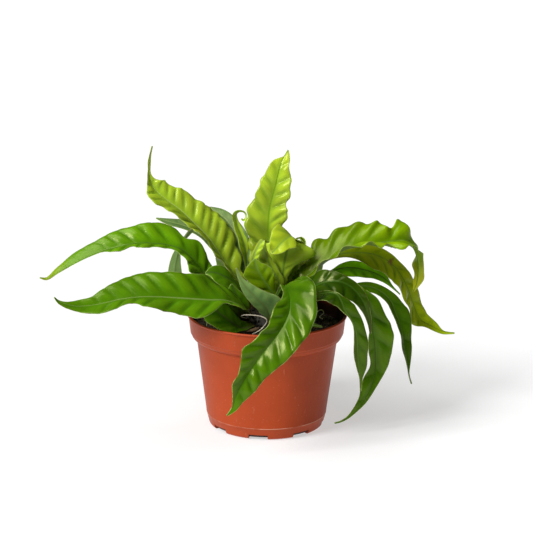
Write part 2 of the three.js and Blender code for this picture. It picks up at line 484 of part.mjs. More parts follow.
// Even points and tangents along the frond's midrib, from the crown's surface to the tip.
function midrib(frond) {
  const [round, up] = frond.root.map(radians);
  const direction = new THREE.Vector3(
    Math.cos(round) * Math.cos(up),
    Math.sin(round) * Math.cos(up),
    Math.sin(up),
  );
  const centre = new THREE.Vector3(0, 0, CROWN.centre);
  const start = centre.addScaledVector(direction, CROWN.radius + GAP);
  const neck = start.clone().addScaledVector(direction, FROND.neck);
  const through = [start.toArray(), neck.toArray(), ...frond.spine];
  const dense = [];
  for (let i = 0; i <= FROND.measures; i += 1) {
    dense.push(new THREE.Vector3(...smoothAt(through, i / FROND.measures)));
  }
  const travelled = [0];
  for (let i = 1; i < dense.length; i += 1) {
    travelled.push(travelled[i - 1] + dense[i].distanceTo(dense[i - 1]));
  }
  const length = travelled.at(-1);
  const steps = length > FROND.shortLength ? FROND.steps : FROND.shortSteps;
  const points = [];
  for (let i = 0; i <= steps; i += 1) {
    const target = (i / steps) * length;
    const j = Math.min(dense.length - 1, Math.max(1, travelled.findIndex((s) => s >= target)));
    const share = (target - travelled[j - 1]) / (travelled[j] - travelled[j - 1]);
    points.push(dense[j - 1].clone().lerp(dense[j], Math.min(share, 1)));
  }
  const tangents = points.map((_, i) => {
    const before = points[Math.max(i - 1, 0)];
    const after = points[Math.min(i + 1, steps)];
    return after.clone().sub(before).normalize();
  });
  return { points, tangents, steps };
}

// The six corners of a frond's V section: along the top from margin to margin, then back below.
function frondSection(point, tangent, heading, roll, [left, right], fold) {
  const level = new THREE.Vector3(0, 0, 1).cross(heading);
  const side = level.addScaledVector(tangent, -level.dot(tangent)).normalize();
  const face = tangent.clone().cross(side);
  const across = side.clone().multiplyScalar(Math.cos(roll)).addScaledVector(face, Math.sin(roll));
  const out = face.clone().multiplyScalar(Math.cos(roll)).addScaledVector(side, -Math.sin(roll));
  const corner = (offset, thickness) => point.clone()
    .addScaledVector(across, offset * Math.cos(fold))
    .addScaledVector(out, Math.abs(offset) * Math.sin(fold) + thickness);
  return [
    corner(-right, FROND.edgeHalf), corner(0, FROND.ribHalf), corner(left, FROND.edgeHalf),
    corner(left, -FROND.edgeHalf), corner(0, -FROND.ribHalf), corner(-right, -FROND.edgeHalf),
  ];
}

function frondGeometry(frond) {
  const { points, tangents, steps } = midrib(frond);
  const heading = 'heading' in frond
    ? new THREE.Vector3(Math.cos(radians(frond.heading)), Math.sin(radians(frond.heading)), 0)
    : points.at(-1).clone().sub(points[0]).setZ(0).normalize();
  const fold = radians(frond.fold ?? FROND.fold);
  const corners = points.flatMap((point, i) => {
    const [roll] = smoothAt(frond.roll, i / steps);
    const widths = [frond.left ?? frond.half, frond.right ?? frond.half].map((list) => {
      const [width] = smoothAt(list, i / steps);
      return Math.max(width, FROND.leastHalfWidth);
    });
    return frondSection(point, tangents[i], heading, radians(roll), widths, fold);
  });
  const faces = [];
  for (let i = 0; i < steps; i += 1) {
    for (let k = 0; k < 6; k += 1) {
      const a = 6 * i + k;
      const b = 6 * i + ((k + 1) % 6);
      faces.push(a, a + 6, b, b, a + 6, b + 6);
    }
  }
  const capEnd = (first, turn) => {
    [[0, 1, 4], [0, 4, 5], [1, 2, 3], [1, 3, 4]].forEach((triangle) => {
      const ordered = turn ? [...triangle].reverse() : triangle;
      faces.push(...ordered.map((k) => first + k));
    });
  };
  capEnd(0, false);
  capEnd(6 * steps, true);
  const geometry = new THREE.BufferGeometry();
  geometry.setAttribute('position', new THREE.Float32BufferAttribute(
    corners.flatMap((corner) => corner.toArray()),
    3,
  ));
  geometry.setIndex(faces);
  geometry.computeVertexNormals();
  return geometry;
}

function makeFrond(frond) {
  return namedMesh(frond.name, frondGeometry(frond), paint(TONES[frond.tone], 0.4));
}

// ---- roots --------------------------------------------------------------------------------

// A round cord of changing radius: a plain extrusion along the path, drawn in to its radius.
function makeRoot(root) {
  const curve = new THREE.CatmullRomCurve3(root.path.map((point) => new THREE.Vector3(...point)));
  const steps = ROOT.stepsPerPoint * (root.path.length - 1);
  const outline = new THREE.Shape(
    Array.from({ length: ROOT.sides }, (_, k) => {
      const angle = (k / ROOT.sides) * 2 * Math.PI;
      return new THREE.Vector2(Math.cos(angle), Math.sin(angle));
    }),
  );
  const geometry = new THREE.ExtrudeGeometry(outline, { extrudePath: curve, steps });
  const centres = curve.getSpacedPoints(steps);
  const position = geometry.attributes.position;
  const corner = new THREE.Vector3();
  for (let i = 0; i < position.count; i += 1) {
    corner.fromBufferAttribute(position, i);
    const gaps = centres.map((centre) => centre.distanceTo(corner));
    const station = gaps.indexOf(Math.min(...gaps));
    const [radius] = smoothAt(root.radius, station / steps);
    corner.sub(centres[station]).setLength(radius).add(centres[station]);
    position.setXYZ(i, corner.x, corner.y, corner.z);
  }
  return namedMesh(root.name, geometry, paint(root.color, 0.7));
}

// ---- the whole plant ----------------------------------------------------------------------

const plant = new THREE.Group();
plant.add(makePot(), makeSoil(), makeCrown());
plant.add(...FRONDS.map(makeFrond));
plant.add(...ROOTS.map(makeRoot));

export default plant;
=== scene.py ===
"""A wavy bird's-nest fern in a round plastic nursery pot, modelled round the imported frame.

Everything is in metres, +Z up, with the origin at the middle of the pot's underside and -Y at the
front. Each frond is a thin slab of fine grid, bent along its midrib, folded, pleated and ruffled.
"""
import math
import random

import bmesh
import bpy
from mathutils import Matrix, Vector, noise


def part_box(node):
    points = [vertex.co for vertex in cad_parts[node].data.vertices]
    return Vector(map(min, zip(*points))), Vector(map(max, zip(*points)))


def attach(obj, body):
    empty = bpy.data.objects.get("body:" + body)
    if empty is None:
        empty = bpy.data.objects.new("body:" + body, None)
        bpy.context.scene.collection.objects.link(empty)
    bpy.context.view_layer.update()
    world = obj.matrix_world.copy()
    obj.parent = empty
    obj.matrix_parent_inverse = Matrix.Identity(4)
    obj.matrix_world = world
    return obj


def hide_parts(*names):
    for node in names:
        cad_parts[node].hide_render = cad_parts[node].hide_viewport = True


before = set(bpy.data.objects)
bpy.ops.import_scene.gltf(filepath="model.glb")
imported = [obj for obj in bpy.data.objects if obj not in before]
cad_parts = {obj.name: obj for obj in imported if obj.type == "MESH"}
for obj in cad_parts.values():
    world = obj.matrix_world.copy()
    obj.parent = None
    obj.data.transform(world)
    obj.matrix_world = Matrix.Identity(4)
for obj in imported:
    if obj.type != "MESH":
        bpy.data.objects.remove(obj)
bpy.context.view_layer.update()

bl_info = {
    "name": "Potted wavy fern",
    "version": (1, 0, 0),
    "blender": (4, 5, 0),
    "location": "View3D > Sidebar > Fern",
    "description": "Builds a wavy bird's-nest fern in its nursery pot, piece by piece",
    "category": "Add Mesh",
}

BODY = "root"
MM = 0.001

# The ball that the fronds leave, cut off at the soil.
CROWN_CENTRE = Vector((0, 0, 94 * MM))
CROWN_RADIUS = 26 * MM
CROWN_GAP = 0.3 * MM
NECK = 8 * MM            # straight start of every frond

# What a frond has unless its own row says otherwise. Lengths in millimetres, angles in degrees.
PLAIN_FROND = dict(
    fold=20,             # how far each half rises from the midrib
    curl=0.10,           # how far the margins curve back down, as a share of the half width
    pleat=(15, 1.3),     # spacing and height of the cross pleats
    ruffle=(40, 1.5),    # spacing and height of the slow waves in the margins
    nick=0.03,           # unevenness of the margin, as a share of the half width
    scallop=0.03,        # how far each pleat pushes the margin out, as such a share
    rib=0.5,             # how pale the midrib is on the upper face
    tip=0.0,             # how far the yellowing of the tip has come
    light=(1.0, 1.0),    # painted light and shade: scales its green at base and tip, beside its tone
    calm=0.3,            # how much lower its pleats are towards the tip
)

# Each frond: where it leaves the crown (degrees round, degrees up), the points that its midrib
# passes through, then its width left and right of the midrib (half where both are alike) and its
# roll, at even spacing from base to tip. heading is set where the frond stands too steeply to have
# a direction of its own. blotch is a brown mark: its centre and its radius.
FRONDS = [
    dict(name="left_high_frond", tone="lime", root=(150, 48),
        spine=[(-32.5, 20, 144.4), (-45.8, 28, 160.8), (-58.1, 36, 177.8), (-73.4, 44, 192.2),
        (-88.8, 50, 205.6), (-102, 54, 214.4), (-115.8, 58, 226.3), (-119.9, 60, 238.2),
        (-120.1, 61, 247.3), (-119.5, 62, 257.3), (-117.3, 63, 268.4)],
        left=[2.4, 3.1, 5.4, 9.5, 14.1, 18, 19.8, 21, 21.7, 22.5, 24.9, 25.7, 22.1, 21, 21.1, 22.7,
        21.7, 15.1, 19.8, 18.2, 8.9, 4.2, 2.2, 2.9, 1.5, 1],
        right=[2.4, 3.1, 5.4, 9.7, 10.8, 10, 19.2, 20.8, 23.3, 26.8, 27, 26, 26.5, 24.7, 22.3, 20.1,
        19.5, 18.9, 15.2, 14, 13.5, 3.9, 1.5, 1.6, 1.1, 1],
        roll=[-1, -3, -5, -19, -35, -27], fold=30, curl=0.05, pleat=(12, 1.5), ruffle=(36, 1.2),
        scallop=0.05, rib=0.8, tip=0.6, light=(0.66, 1.3)),
    dict(name="left_mid_frond", tone="green", root=(176, 24),
        spine=[(-52, 2, 140.9), (-61.5, 3, 150.4), (-68.9, 4, 159.8), (-76.8, 4.5, 169.3),
        (-86.7, 4, 177), (-98.5, 3, 180.9), (-111.2, 1, 182.9), (-125.8, -1, 183.7),
        (-140.4, -3, 181.9), (-153.1, -5, 179), (-164.8, -7, 176.1), (-179.4, -9, 170.4),
        (-194.1, -11, 162.7), (-206.8, -13, 155.5), (-216.7, -13.5, 149.9), (-224, -14, 151)],
        left=[2.4, 3.4, 5.2, 7.7, 10.3, 12.7, 16.2, 22.9, 27.7, 15.2, 9.5, 7.7, 10, 10, 12.7, 6.7,
        12.9, 11.2, 3, 2.9, 2.9, 2.5, 2.1, 2.5, 4.4, 1],
        right=[2.4, 3.4, 5.2, 7.9, 10.6, 12.8, 13.9, 14.2, 17.6, 20.4, 14.5, 22.5, 24.5, 24.7, 23,
        20.5, 20.8, 18.9, 15.5, 14.6, 13.3, 11.9, 9, 6.6, 3.1, 1],
        roll=[-7, -23, -32, -28, -23, -19, -19], fold=24, pleat=(15.5, 1.35), ruffle=(60, 0.6),
        nick=0.02, scallop=0.02, rib=0.12, tip=0.5, light=(1.25, 1.25), calm=0.85),
    dict(name="left_low_frond", tone="green", root=(-130, 42),
        spine=[(-26.6, -32, 129.4), (-41, -44, 138), (-57.2, -51, 140.5), (-74.4, -56, 143),
        (-93.4, -60, 145.2), (-112.3, -64, 146.9), (-126.5, -66, 146.7), (-140.7, -68, 145.1),
        (-153, -70, 142.8), (-166.2, -72, 140.5), (-180.4, -74, 139.8), (-191.6, -76, 142.4),
        (-199, -77, 145.6), (-202.6, -78, 149.6)],
        left=[2.4, 6.4, 12.2, 15.9, 8.1, 20.4, 30, 27.7, 24.8, 25.2, 23.7, 11.5, 13.4, 16.4, 14.4,
        9.7, 6.6, 1],
        right=[2.4, 6.2, 13.1, 22.6, 22.7, 30, 27.9, 27, 28.6, 29, 29.4, 26.4, 20.9, 15.6, 9.5, 7.3,
        2.8, 1],
        roll=[-10, -14, -40, -24, -31, -37], pleat=(17, 1.45), ruffle=(70, 0.6), nick=0.01,
        scallop=0.01, rib=0.42, light=(0.9, 1.05), calm=0.6),
    dict(name="top_frond", tone="lime", root=(70, 84),
        spine=[(-0.6, 10, 156.7), (0, 14, 172.1), (0.2, 18, 185.5), (0.3, 21, 198),
        (1.4, 24, 212.6), (3.8, 26, 223.4), (6.7, 28, 234.2), (9.1, 30, 244.9), (11.4, 32, 254.6),
        (14.3, 34.5, 262.2), (19.5, 36, 271.1)],
        left=[2.4, 6, 9.6, 13.1, 16.1, 18.3, 19.4, 19.5, 18.9, 18.9, 21.7, 24, 22.3, 20.2, 19.3,
        17.4, 15.4, 13.6, 11.4, 8.8, 0.8, 0.8],
        right=[2.4, 5.9, 9.5, 13, 16.1, 18.6, 20.2, 20.8, 20.2, 18.6, 16.6, 16.7, 20.3, 20.7, 17.7,
        18.3, 16.5, 15.8, 12.1, 9.3, 7.2, 0.8],
        roll=[-10, -5, -1, 5, 11], heading=70, fold=15, pleat=(15.5, 1.6), ruffle=(34, 1.2),
        nick=0.085, scallop=0.1, rib=0, tip=0.55, light=(0.55, 1.15)),
    dict(name="curled_young_frond", tone="lime", root=(170, 66),
        spine=[(-18.8, 6, 145.3), (-20.9, 5, 156.9), (-21.7, 5, 166.1), (-22.2, 5, 174.3),
        (-23.5, 6, 181.1), (-26, 7, 189), (-29.2, 8, 196.9), (-31.8, 9, 203.7), (-32.9, 9, 209.3),
        (-31.6, 9, 213.4), (-27.6, 8, 215.6), (-23, 7, 214.4), (-21.4, 5, 210.9), (-23.1, 3, 207.3),
        (-26.5, 2, 208.5)],
        left=[2.2, 2.5, 2.7, 2.5, 1.9, 1.6, 2.8, 5.3, 8.7, 9.6, 8, 6.8, 5.1, 5.5, 6, 4.5, 1],
        right=[2.2, 2.7, 3, 3, 2.4, 1.6, 1.6, 1.6, 3.9, 4.9, 3.8, 3.8, 3.1, 1.9, 1.5, 1.1, 1],
        roll=[-45, -45, -46, -47, -49, -49], heading=170, fold=35, pleat=(8, 0.3), ruffle=(20, 0.6),
        light=(1.35, 1.5)),
    dict(name="short_right_frond", tone="lime", root=(-20, 66),
        spine=[(16.4, -8, 144.4), (14.8, -9, 152.8), (15.2, -8, 161.7), (17.1, -6, 170.4),
        (19, -4, 179), (20.1, -2.5, 184.8), (20.2, -1, 188.9)],
        left=[2.4, 3.2, 4.6, 6.3, 6.4, 2.1, 4.5, 10.5, 17.1, 19.9, 19.3, 1],
        right=[2.4, 3.3, 4.2, 3.9, 1.6, 4.8, 7.9, 10, 15.4, 25.6, 29, 1],
        roll=[0, 4, 6, 6], heading=90, fold=-8, pleat=(15, 1), ruffle=(30, 1.2), rib=0.1,
        light=(1.15, 1.35)),
    dict(name="yellow_frond", tone="yellow", root=(20, 78),
        spine=[(16.4, 10, 146.6), (21.3, 16, 161.5), (25.1, 17, 175.7), (26.4, 9, 185.4),
        (22.8, 1, 191.7), (17.8, -6, 190.7), (12, -11, 186.4), (7.1, -14, 181.5),
        (3.2, -16, 177.5)],
        left=[2.2, 2.7, 3.6, 5.2, 7.7, 10.4, 12.9, 14.6, 15.2, 14.6, 12.3, 6.3, 13.6, 10.4, 7.6, 1],
        right=[2.2, 2.7, 3.6, 5.2, 7.7, 10.5, 13, 14.6, 14.1, 10.6, 6.2, 16.7, 16.8, 14.1, 8.8, 1],
        roll=[2, 0, -7, -23, -28, -5], heading=-110, fold=10, pleat=(14, 0.8), ruffle=(26, 1.5),
        rib=0.2),
    dict(name="inner_frond", tone="lime", root=(-75, 76),
        spine=[(11.4, -11, 146.2), (6.4, -12, 157.6), (1.4, -12.5, 167.9), (-2.4, -13, 178.1),
        (-4.2, -13, 185.2), (-3.7, -13.5, 190.9)],
        left=[2.4, 3.9, 5.1, 6.1, 7.5, 10.3, 10.3, 4.2, 1],
        right=[2.4, 4.2, 5.4, 5.8, 5.8, 5.7, 3.9, 2.5, 1],
        roll=[0, 0, 0, 0], heading=90, fold=14, pleat=(12, 0.9), ruffle=(26, 1.2), rib=0.2),
    dict(name="crisped_frond", tone="lime", root=(-140, 66),
        spine=[(-10.7, -11, 137.8), (-12.2, -15, 152.2), (-16.2, -18, 162.6), (-14.3, -19, 173.5),
        (-11.4, -19, 182.7), (-7.6, -18, 189.2), (-3.7, -17, 191.6), (0.7, -16, 189.6)],
        left=[2.2, 2.6, 3, 3, 2.5, 1.8, 1.7, 2.6, 2.6, 2.5, 1],
        right=[2.2, 2.6, 2.9, 2.7, 1.9, 1.6, 2, 4.7, 5.3, 5.1, 1],
        roll=[0, 0, 0, 0, 1, 2], heading=90, fold=16, pleat=(7, 2.6), ruffle=(9, 5), nick=0.08,
        scallop=0.12, light=(1.25, 1.35)),
    dict(name="centre_frond", tone="bright", root=(-60, 62),
        spine=[(7.5, -21, 135.7), (2.1, -25, 146), (-3.9, -27, 155.1), (-8.6, -28, 163.9),
        (-11.3, -28, 170.4), (-12.3, -28, 176)],
        left=[2.4, 6, 8.8, 10.5, 11.2, 12.9, 14.6, 0.9],
        right=[2.4, 3.6, 3.9, 4, 9, 13.6, 9.5, 1],
        roll=[0, -1, 0, 4], heading=90, fold=12, pleat=(12, 1), ruffle=(26, 1.2), rib=0.2,
        light=(0.72, 0.72)),
    dict(name="front_frond", tone="green", root=(-85, 48),
        spine=[(9.4, -34, 139.5), (16.4, -52, 155.7), (20, -68, 152.8), (21.4, -79, 146.6),
        (20.7, -87, 140), (16.9, -94, 132.2), (11.3, -100, 124.1), (4.3, -105, 115.3),
        (-4.1, -109, 106.1), (-11.5, -112, 96.2), (-18.4, -114, 85.9), (-25, -115, 74.3),
        (-29.6, -116, 63.6), (-32.1, -117, 55), (-37, -118, 46.8)],
        left=[2.4, 4.9, 7.1, 8, 7, 6.6, 17, 25.8, 30, 29, 28.5, 28, 26, 24.3, 22.8, 20.4, 16.9, 16,
        14.7, 10.3, 5.9, 1],
        right=[2.4, 2.5, 2.5, 2.5, 2.9, 3.7, 5.4, 5, 8, 14.2, 16.5, 14.8, 14, 15.6, 15.1, 20.3,
        14.7, 10, 10.1, 4, 0.8, 1],
        roll=[10, 13, 8, -20, -29, -30, -29], fold=26, pleat=(15, 1.55), ruffle=(50, 1.2), rib=0,
        light=(0.5, 0.8)),
    dict(name="grey_frond", tone="grey", root=(-84, 28),
        spine=[(-0.7, -40, 129.5), (-8.5, -45, 139.4), (-16.3, -48, 148.6), (-22.3, -50, 156.3),
        (-26.7, -51, 164.3), (-30, -52, 173.2)],
        left=[2.4, 1.6, 3.3, 8.3, 8.6, 7.7, 7.1, 4.6, 2.3, 1],
        right=[2.4, 9.2, 15.7, 20.5, 19.4, 14.1, 8.9, 5.4, 1.8, 1],
        roll=[0, 1, 0, 0, 0], heading=90, fold=14, pleat=(14, 0.35), ruffle=(40, 0.8), rib=0.3,
        light=(1.5, 1.5)),
    dict(name="low_left_frond", tone="dark", root=(-146, 32),
        spine=[(-27, -17.5, 118), (-27.8, -18.2, 124.3), (-29.3, -18.6, 131.6),
        (-31.3, -18.5, 138.2), (-33.9, -18.2, 144.2), (-35.7, -18, 147.7)],
        left=[2.4, 3.8, 5.5, 8.8, 10.2, 10.5, 9.5, 1],
        right=[2.4, 3, 6.5, 11.6, 10, 6.9, 3.3, 1],
        roll=[0, 0, 0, 0], heading=110, fold=8, pleat=(12, 0.6), ruffle=(30, 1), rib=0.1,
        light=(1.6, 1.6)),
    dict(name="soil_left_frond", tone="dark", root=(-116, 25),
        spine=[(-22.5, -36.5, 108.1), (-29.8, -40.5, 111.6), (-36.1, -43.5, 116.8),
        (-41.8, -45.5, 122.1), (-47.7, -46.5, 126.9), (-54.4, -46.5, 132.4), (-60.3, -45.5, 137.6)],
        left=[2.4, 2.4, 2.6, 6, 15.2, 19.8, 20.5, 20.7, 1],
        right=[2.4, 6.4, 11.7, 10.5, 11.9, 13.6, 14.9, 14.3, 1],
        roll=[-2, -31, -45, -48, -50], fold=12, pleat=(14, 0.4), ruffle=(30, 0.8),
        light=(3.6, 3.6)),
    dict(name="soil_right_frond", tone="dark", root=(-60, 24),
        spine=[(26, -38, 113), (40, -45, 114.5), (54, -43, 112)],
        half=[2.4, 5, 6, 4, 1],
        roll=[0, 20, 20], pleat=(14, 0.3), ruffle=(30, 0.5)),
    dict(name="right_high_frond", tone="bright", root=(4, 66),
        spine=[(33.2, 0, 146.4), (44, 2, 154.2), (53.9, 4, 162.4), (63.7, 6.5, 169.5),
        (73.6, 8, 175.4), (83.4, 9, 179.3), (94.4, 11, 181.2), (106.3, 13, 182.2),
        (118.4, 16, 182.7), (129.6, 20, 183.5), (138.9, 25, 181.6), (146, 30, 173.4),
        (150, 33, 163.3), (151.9, 34, 153.7), (152.1, 35, 144.1), (150.6, 35.5, 134.5),
        (147.6, 36, 125.9)],
        left=[2.4, 3.4, 4.6, 6.5, 8.9, 11.2, 13.5, 15.6, 17.2, 28, 28, 22.6, 27.1, 28, 28, 27.2,
        22.9, 24.7, 17.6, 14.8, 23.1, 10.6, 6.6, 9.1, 11.4, 10.9, 10.6, 9.6, 7.1, 1],
        right=[2.4, 3.4, 4.6, 6.5, 8.9, 11.2, 13.5, 15.6, 17.4, 19, 20.2, 20.9, 21.4, 21.6, 21.9,
        22.3, 21.1, 19, 20.7, 23.4, 19.6, 14.7, 13.2, 10.6, 7.3, 5.9, 5.9, 6.7, 3.4, 1],
        roll=[2, 14, 9, 8, 12, 31, 26, -39, -38], fold=34, pleat=(21, 1.1), ruffle=(21, 2.6),
        scallop=0.06, rib=0.3, tip=1, light=(0.15, 1.3)),
    dict(name="right_far_frond", tone="olive", root=(24, 44),
        spine=[(32.6, 26, 145.4), (50.6, 31, 156.7), (68.7, 36, 163.4), (87, 40, 165.1),
        (104.4, 44, 163.1), (119.8, 46, 156.5), (131.4, 48, 145.6), (139.9, 48, 131.9),
        (145.9, 48, 117.2), (150.8, 47, 103.7), (157.1, 46, 93.4), (167.3, 44, 87.7),
        (178.5, 42, 83.1), (191.2, 40, 81.4)],
        left=[2.4, 3.9, 5.7, 7.8, 9.8, 11.2, 12.1, 12.8, 13.6, 14.4, 14.9, 13.9, 10, 8.9, 8.7, 10.9,
        11.5, 12.8, 11.6, 11, 9.2, 6.3, 0.8, 1],
        right=[2.4, 3.9, 5.8, 8, 9.9, 10.1, 7.2, 4.8, 6, 8.2, 12.8, 18.5, 20.2, 19.9, 17.4, 17.8,
        13.1, 14.2, 12.2, 19, 6.6, 4.9, 3.8, 1],
        roll=[-1, 11, 25, 40, 50, 51, 50, 50], fold=18, pleat=(16, 0.7), ruffle=(40, 1.2), rib=0.1,
        light=(0.35, 2.1), blotch=(127, 44, 155.5, 5)),
    dict(name="right_mid_frond", tone="green", root=(36, 24),
        spine=[(48.7, 24, 139.9), (60.9, 32, 146.1), (73.1, 38, 148.8), (85.4, 42, 148.9),
        (97.7, 44, 146.3), (109, 45, 142.5), (118.2, 45, 137.3), (126.5, 44, 129.8),
        (134.7, 43, 121.2)],
        left=[2.2, 3.2, 4, 4.5, 4.2, 2.9, 1.7, 5.5, 8.2, 8.6, 7.4, 5.7, 1.1, 1],
        right=[2.2, 3, 4, 5.2, 6.5, 7.9, 9.4, 11.2, 12.9, 12, 8.9, 7.1, 4.2, 1],
        roll=[1, 20, 34, 40, 40, 35], fold=15, pleat=(14, 0.5), ruffle=(40, 0.6), rib=0.2,
        light=(4, 4)),
    dict(name="right_thin_frond", tone="dark", root=(-4, 26),
        spine=[(58.3, 4, 133.1), (74.2, 7, 136.6), (90.2, 9, 138.7), (100.2, 10, 138.6),
        (109.3, 10, 135.5), (117.3, 9, 130.2), (123.4, 8, 123.3), (127.5, 6, 113.5),
        (131.4, 4, 103.7), (134.7, 1, 93.2), (136.4, -1, 82.3), (138.6, -3, 71.5),
        (140.7, -5, 60.6), (142.4, -7, 50.8), (144.8, -8, 42.7)],
        left=[2.2, 3.2, 4.2, 4.9, 5.1, 4.5, 3.5, 4.4, 5.5, 7, 9.6, 13.8, 13, 10, 8.5, 5.1, 1.2, 1],
        right=[2.2, 3.1, 4.1, 5.3, 6.6, 7.7, 8.5, 8.6, 7.5, 6.9, 6.3, 5, 4.7, 3.2, 4.5, 2, 1.1, 1],
        roll=[2, 24, 40, 49, 50, 46, 40], fold=24, pleat=(18, 0.6), ruffle=(40, 0.8), rib=0.15,
        light=(0.9, 0.9)),
    dict(name="right_big_frond", tone="dark", root=(-18, 48),
        spine=[(50, -8, 134.4), (66.5, -12, 144.9), (81.1, -15, 148), (92.9, -18, 142.8),
        (98.9, -20, 131.2), (101.9, -21, 117.1), (103.9, -22, 103.1), (106.2, -23, 87.9),
        (107.4, -24, 72.7), (107.1, -26, 59.9), (103.8, -29, 47.3), (98.5, -32, 36.8),
        (91.1, -36, 26.7), (82.2, -39, 18.8), (73.8, -41, 14.4), (67.4, -42, 12.9)],
        left=[2.4, 4, 5.6, 6.8, 7.2, 6.2, 3.9, 2.4, 10.3, 14, 18.8, 21, 17.5, 14, 8.3, 4.7, 3.5,
        1.6, 1.3, 1],
        right=[2.4, 3.8, 5.3, 7.1, 8.9, 10.7, 11.9, 12.1, 10.7, 7.3, 3.4, 6.3, 7.2, 5.8, 9.8, 11.1,
        6.9, 4.6, 1.7, 1],
        roll=[0, 10, 21, 35, 48, 59, 64, 66], fold=24, pleat=(22, 1.4), ruffle=(50, 0.8), rib=0.05,
        light=(1.2, 1.2)),
    dict(name="right_upper_frond", tone="dark", root=(-46, 48),
        spine=[(31.9, -27, 138.7), (43.5, -31, 148), (55.9, -35, 154.8), (68.4, -38, 156.8),
        (79, -40, 153.4), (87.8, -42, 145.5), (93.8, -43, 135.8), (97.9, -43, 124.7),
        (100.1, -43, 114.6), (100.7, -42, 105.6)],
        left=[2.4, 6.7, 10.8, 14, 15.7, 15.5, 11.7, 7.4, 6.8, 6.2, 3.7, 2.2, 1],
        right=[2.4, 3, 3.7, 5, 8.1, 13.9, 20, 20.7, 14.9, 9, 5.2, 3, 1],
        roll=[0, 16, 32, 46, 53, 56], fold=18, pleat=(16, 1), ruffle=(40, 0.8), rib=0.05,
        light=(0.4, 0.5)),
    dict(name="right_inner_frond", tone="dark", root=(-36, 24),
        spine=[(33.7, -43, 137.2), (44.9, -57, 146.4), (56, -67, 153), (65.3, -73, 154.1),
        (70.1, -76, 148.1), (73.5, -78, 139.8), (78.8, -80, 132.5), (83.7, -82, 123.2),
        (85.8, -83, 111.6), (86.5, -83, 98.6), (87.8, -82, 86.3), (89.5, -81, 73.9),
        (90.6, -80, 59.4)],
        left=[2.2, 3.1, 4, 5.1, 6.1, 6.5, 5.2, 2.9, 2.7, 10.7, 10.5, 9.4, 11, 9.9, 7.9, 2.5, 1],
        right=[2.2, 3.9, 5.9, 8.1, 10.6, 13.2, 15.3, 16, 12.9, 4.2, 0.8, 2.2, 3.6, 4, 2.6, 0.9, 1],
        roll=[0, 16, 30, 40, 44, 46], pleat=(16, 0.7), ruffle=(40, 0.8), rib=0.1,
        light=(0.45, 0.6)),
    dict(name="dark_left_frond", tone="dark", root=(-164, 46),
        spine=[(-29.1, -2, 140.2), (-37, -6, 148.4), (-44.8, -9, 153.8), (-53.6, -11, 157.3),
        (-61.4, -12, 156.7)],
        left=[2.2, 5.7, 8.8, 11.3, 13, 13.6, 11.7, 1],
        right=[2.2, 4.1, 4.9, 4.1, 3.6, 9.1, 8.5, 1],
        roll=[-4, -26, -38, -43, -44], fold=18, pleat=(14, 0.4), ruffle=(30, 0.8), rib=0.1,
        light=(1.3, 1.3)),
    dict(name="hanging_left_frond", tone="grey", root=(132, 46),
        spine=[(-31.8, 36, 141), (-46.3, 48, 160.7), (-58.8, 58, 174.8), (-69.2, 65, 181.3),
        (-78.5, 70, 180), (-85.1, 73, 170.7), (-90.8, 75, 158.5), (-94, 76, 146.5),
        (-95.7, 76, 134.8), (-96.9, 75, 123.3), (-98.5, 74, 112.8)],
        left=[2, 1.7, 1.6, 1.6, 1.6, 1.6, 0.9, 1.3, 2.7, 7.1, 8.2, 1],
        right=[2, 1.7, 1.6, 1.6, 1.9, 2.6, 3.3, 3.3, 0.8, 5.1, 8.2, 1],
        roll=[0, 10, 21, 41, 68, 81, 81], fold=14, pleat=(14, 0.4), ruffle=(30, 0.8),
        light=(0.9, 0.9)),
    dict(name="thin_left_frond", tone="grey", root=(110, 26),
        spine=[(-32.1, 52, 140.9), (-44.6, 64, 152.3), (-57.2, 74, 162.8), (-68.8, 82, 171.3),
        (-79.8, 88, 177.1), (-90.8, 92, 180.2), (-103.4, 95, 182.6), (-115.9, 98, 185.2)],
        left=[2, 3.4, 4.6, 5.3, 5.3, 4.9, 3.2, 5.6, 6.6, 1],
        right=[2, 3.3, 4.6, 5.8, 6.9, 8, 8.8, 8.7, 5.6, 1],
        roll=[-1, -10, -18, -20, -22, -21], fold=14, pleat=(14, 0.4), ruffle=(30, 0.8)),
    dict(name="back_grey_frond", tone="grey", root=(100, 46),
        spine=[(-21.8, 40, 154.7), (-29.1, 50, 170.8), (-35.5, 62, 182.4), (-42.9, 74, 189.8),
        (-50.3, 83, 193.9), (-58.2, 90, 196.6), (-65.1, 95, 198.3)],
        left=[2.2, 5.4, 8.6, 11.4, 12.8, 12.4, 10, 6, 1],
        right=[2.2, 5.4, 8.5, 11, 12, 11.2, 9, 6.7, 1],
        roll=[-1, -14, -23, -27], fold=15, pleat=(14, 0.4), ruffle=(30, 0.8), light=(1.1, 1.1)),
    dict(name="crozier_frond", tone="lime", root=(72, 66),
        spine=[(29, 42, 152), (35.5, 44, 165), (37.2, 44, 172), (36.3, 43.5, 176.8),
        (33.3, 43, 179.6), (30, 42.5, 179.6), (28.2, 42, 178), (29.3, 42, 176.4), (31, 42, 176.8)],
        half=[2, 2.6, 3.2, 3.6, 3.8, 3.6, 3, 2.4, 1.4],
        roll=[0, 0], heading=-60, fold=30, tip=0.6, light=(3.5, 7)),
    dict(name="back_left_frond", tone="green", root=(92, 24),
        spine=[(-16, 60, 142), (-26, 92, 156), (-36, 122, 150), (-44, 146, 126), (-50, 160, 96)],
        half=[2.4, 6, 12, 16, 18, 18, 15, 9, 1],
        roll=[0, 0, 0]),
    dict(name="back_middle_frond", tone="bright", root=(76, 30),
        spine=[(12, 52, 146), (16, 80, 158), (19, 108, 154), (21, 132, 136), (22, 150, 106)],
        half=[2.4, 6, 12, 17, 19, 18, 15, 9, 1],
        roll=[0, 0, 0]),
    dict(name="back_right_frond", tone="dark", root=(66, 26),
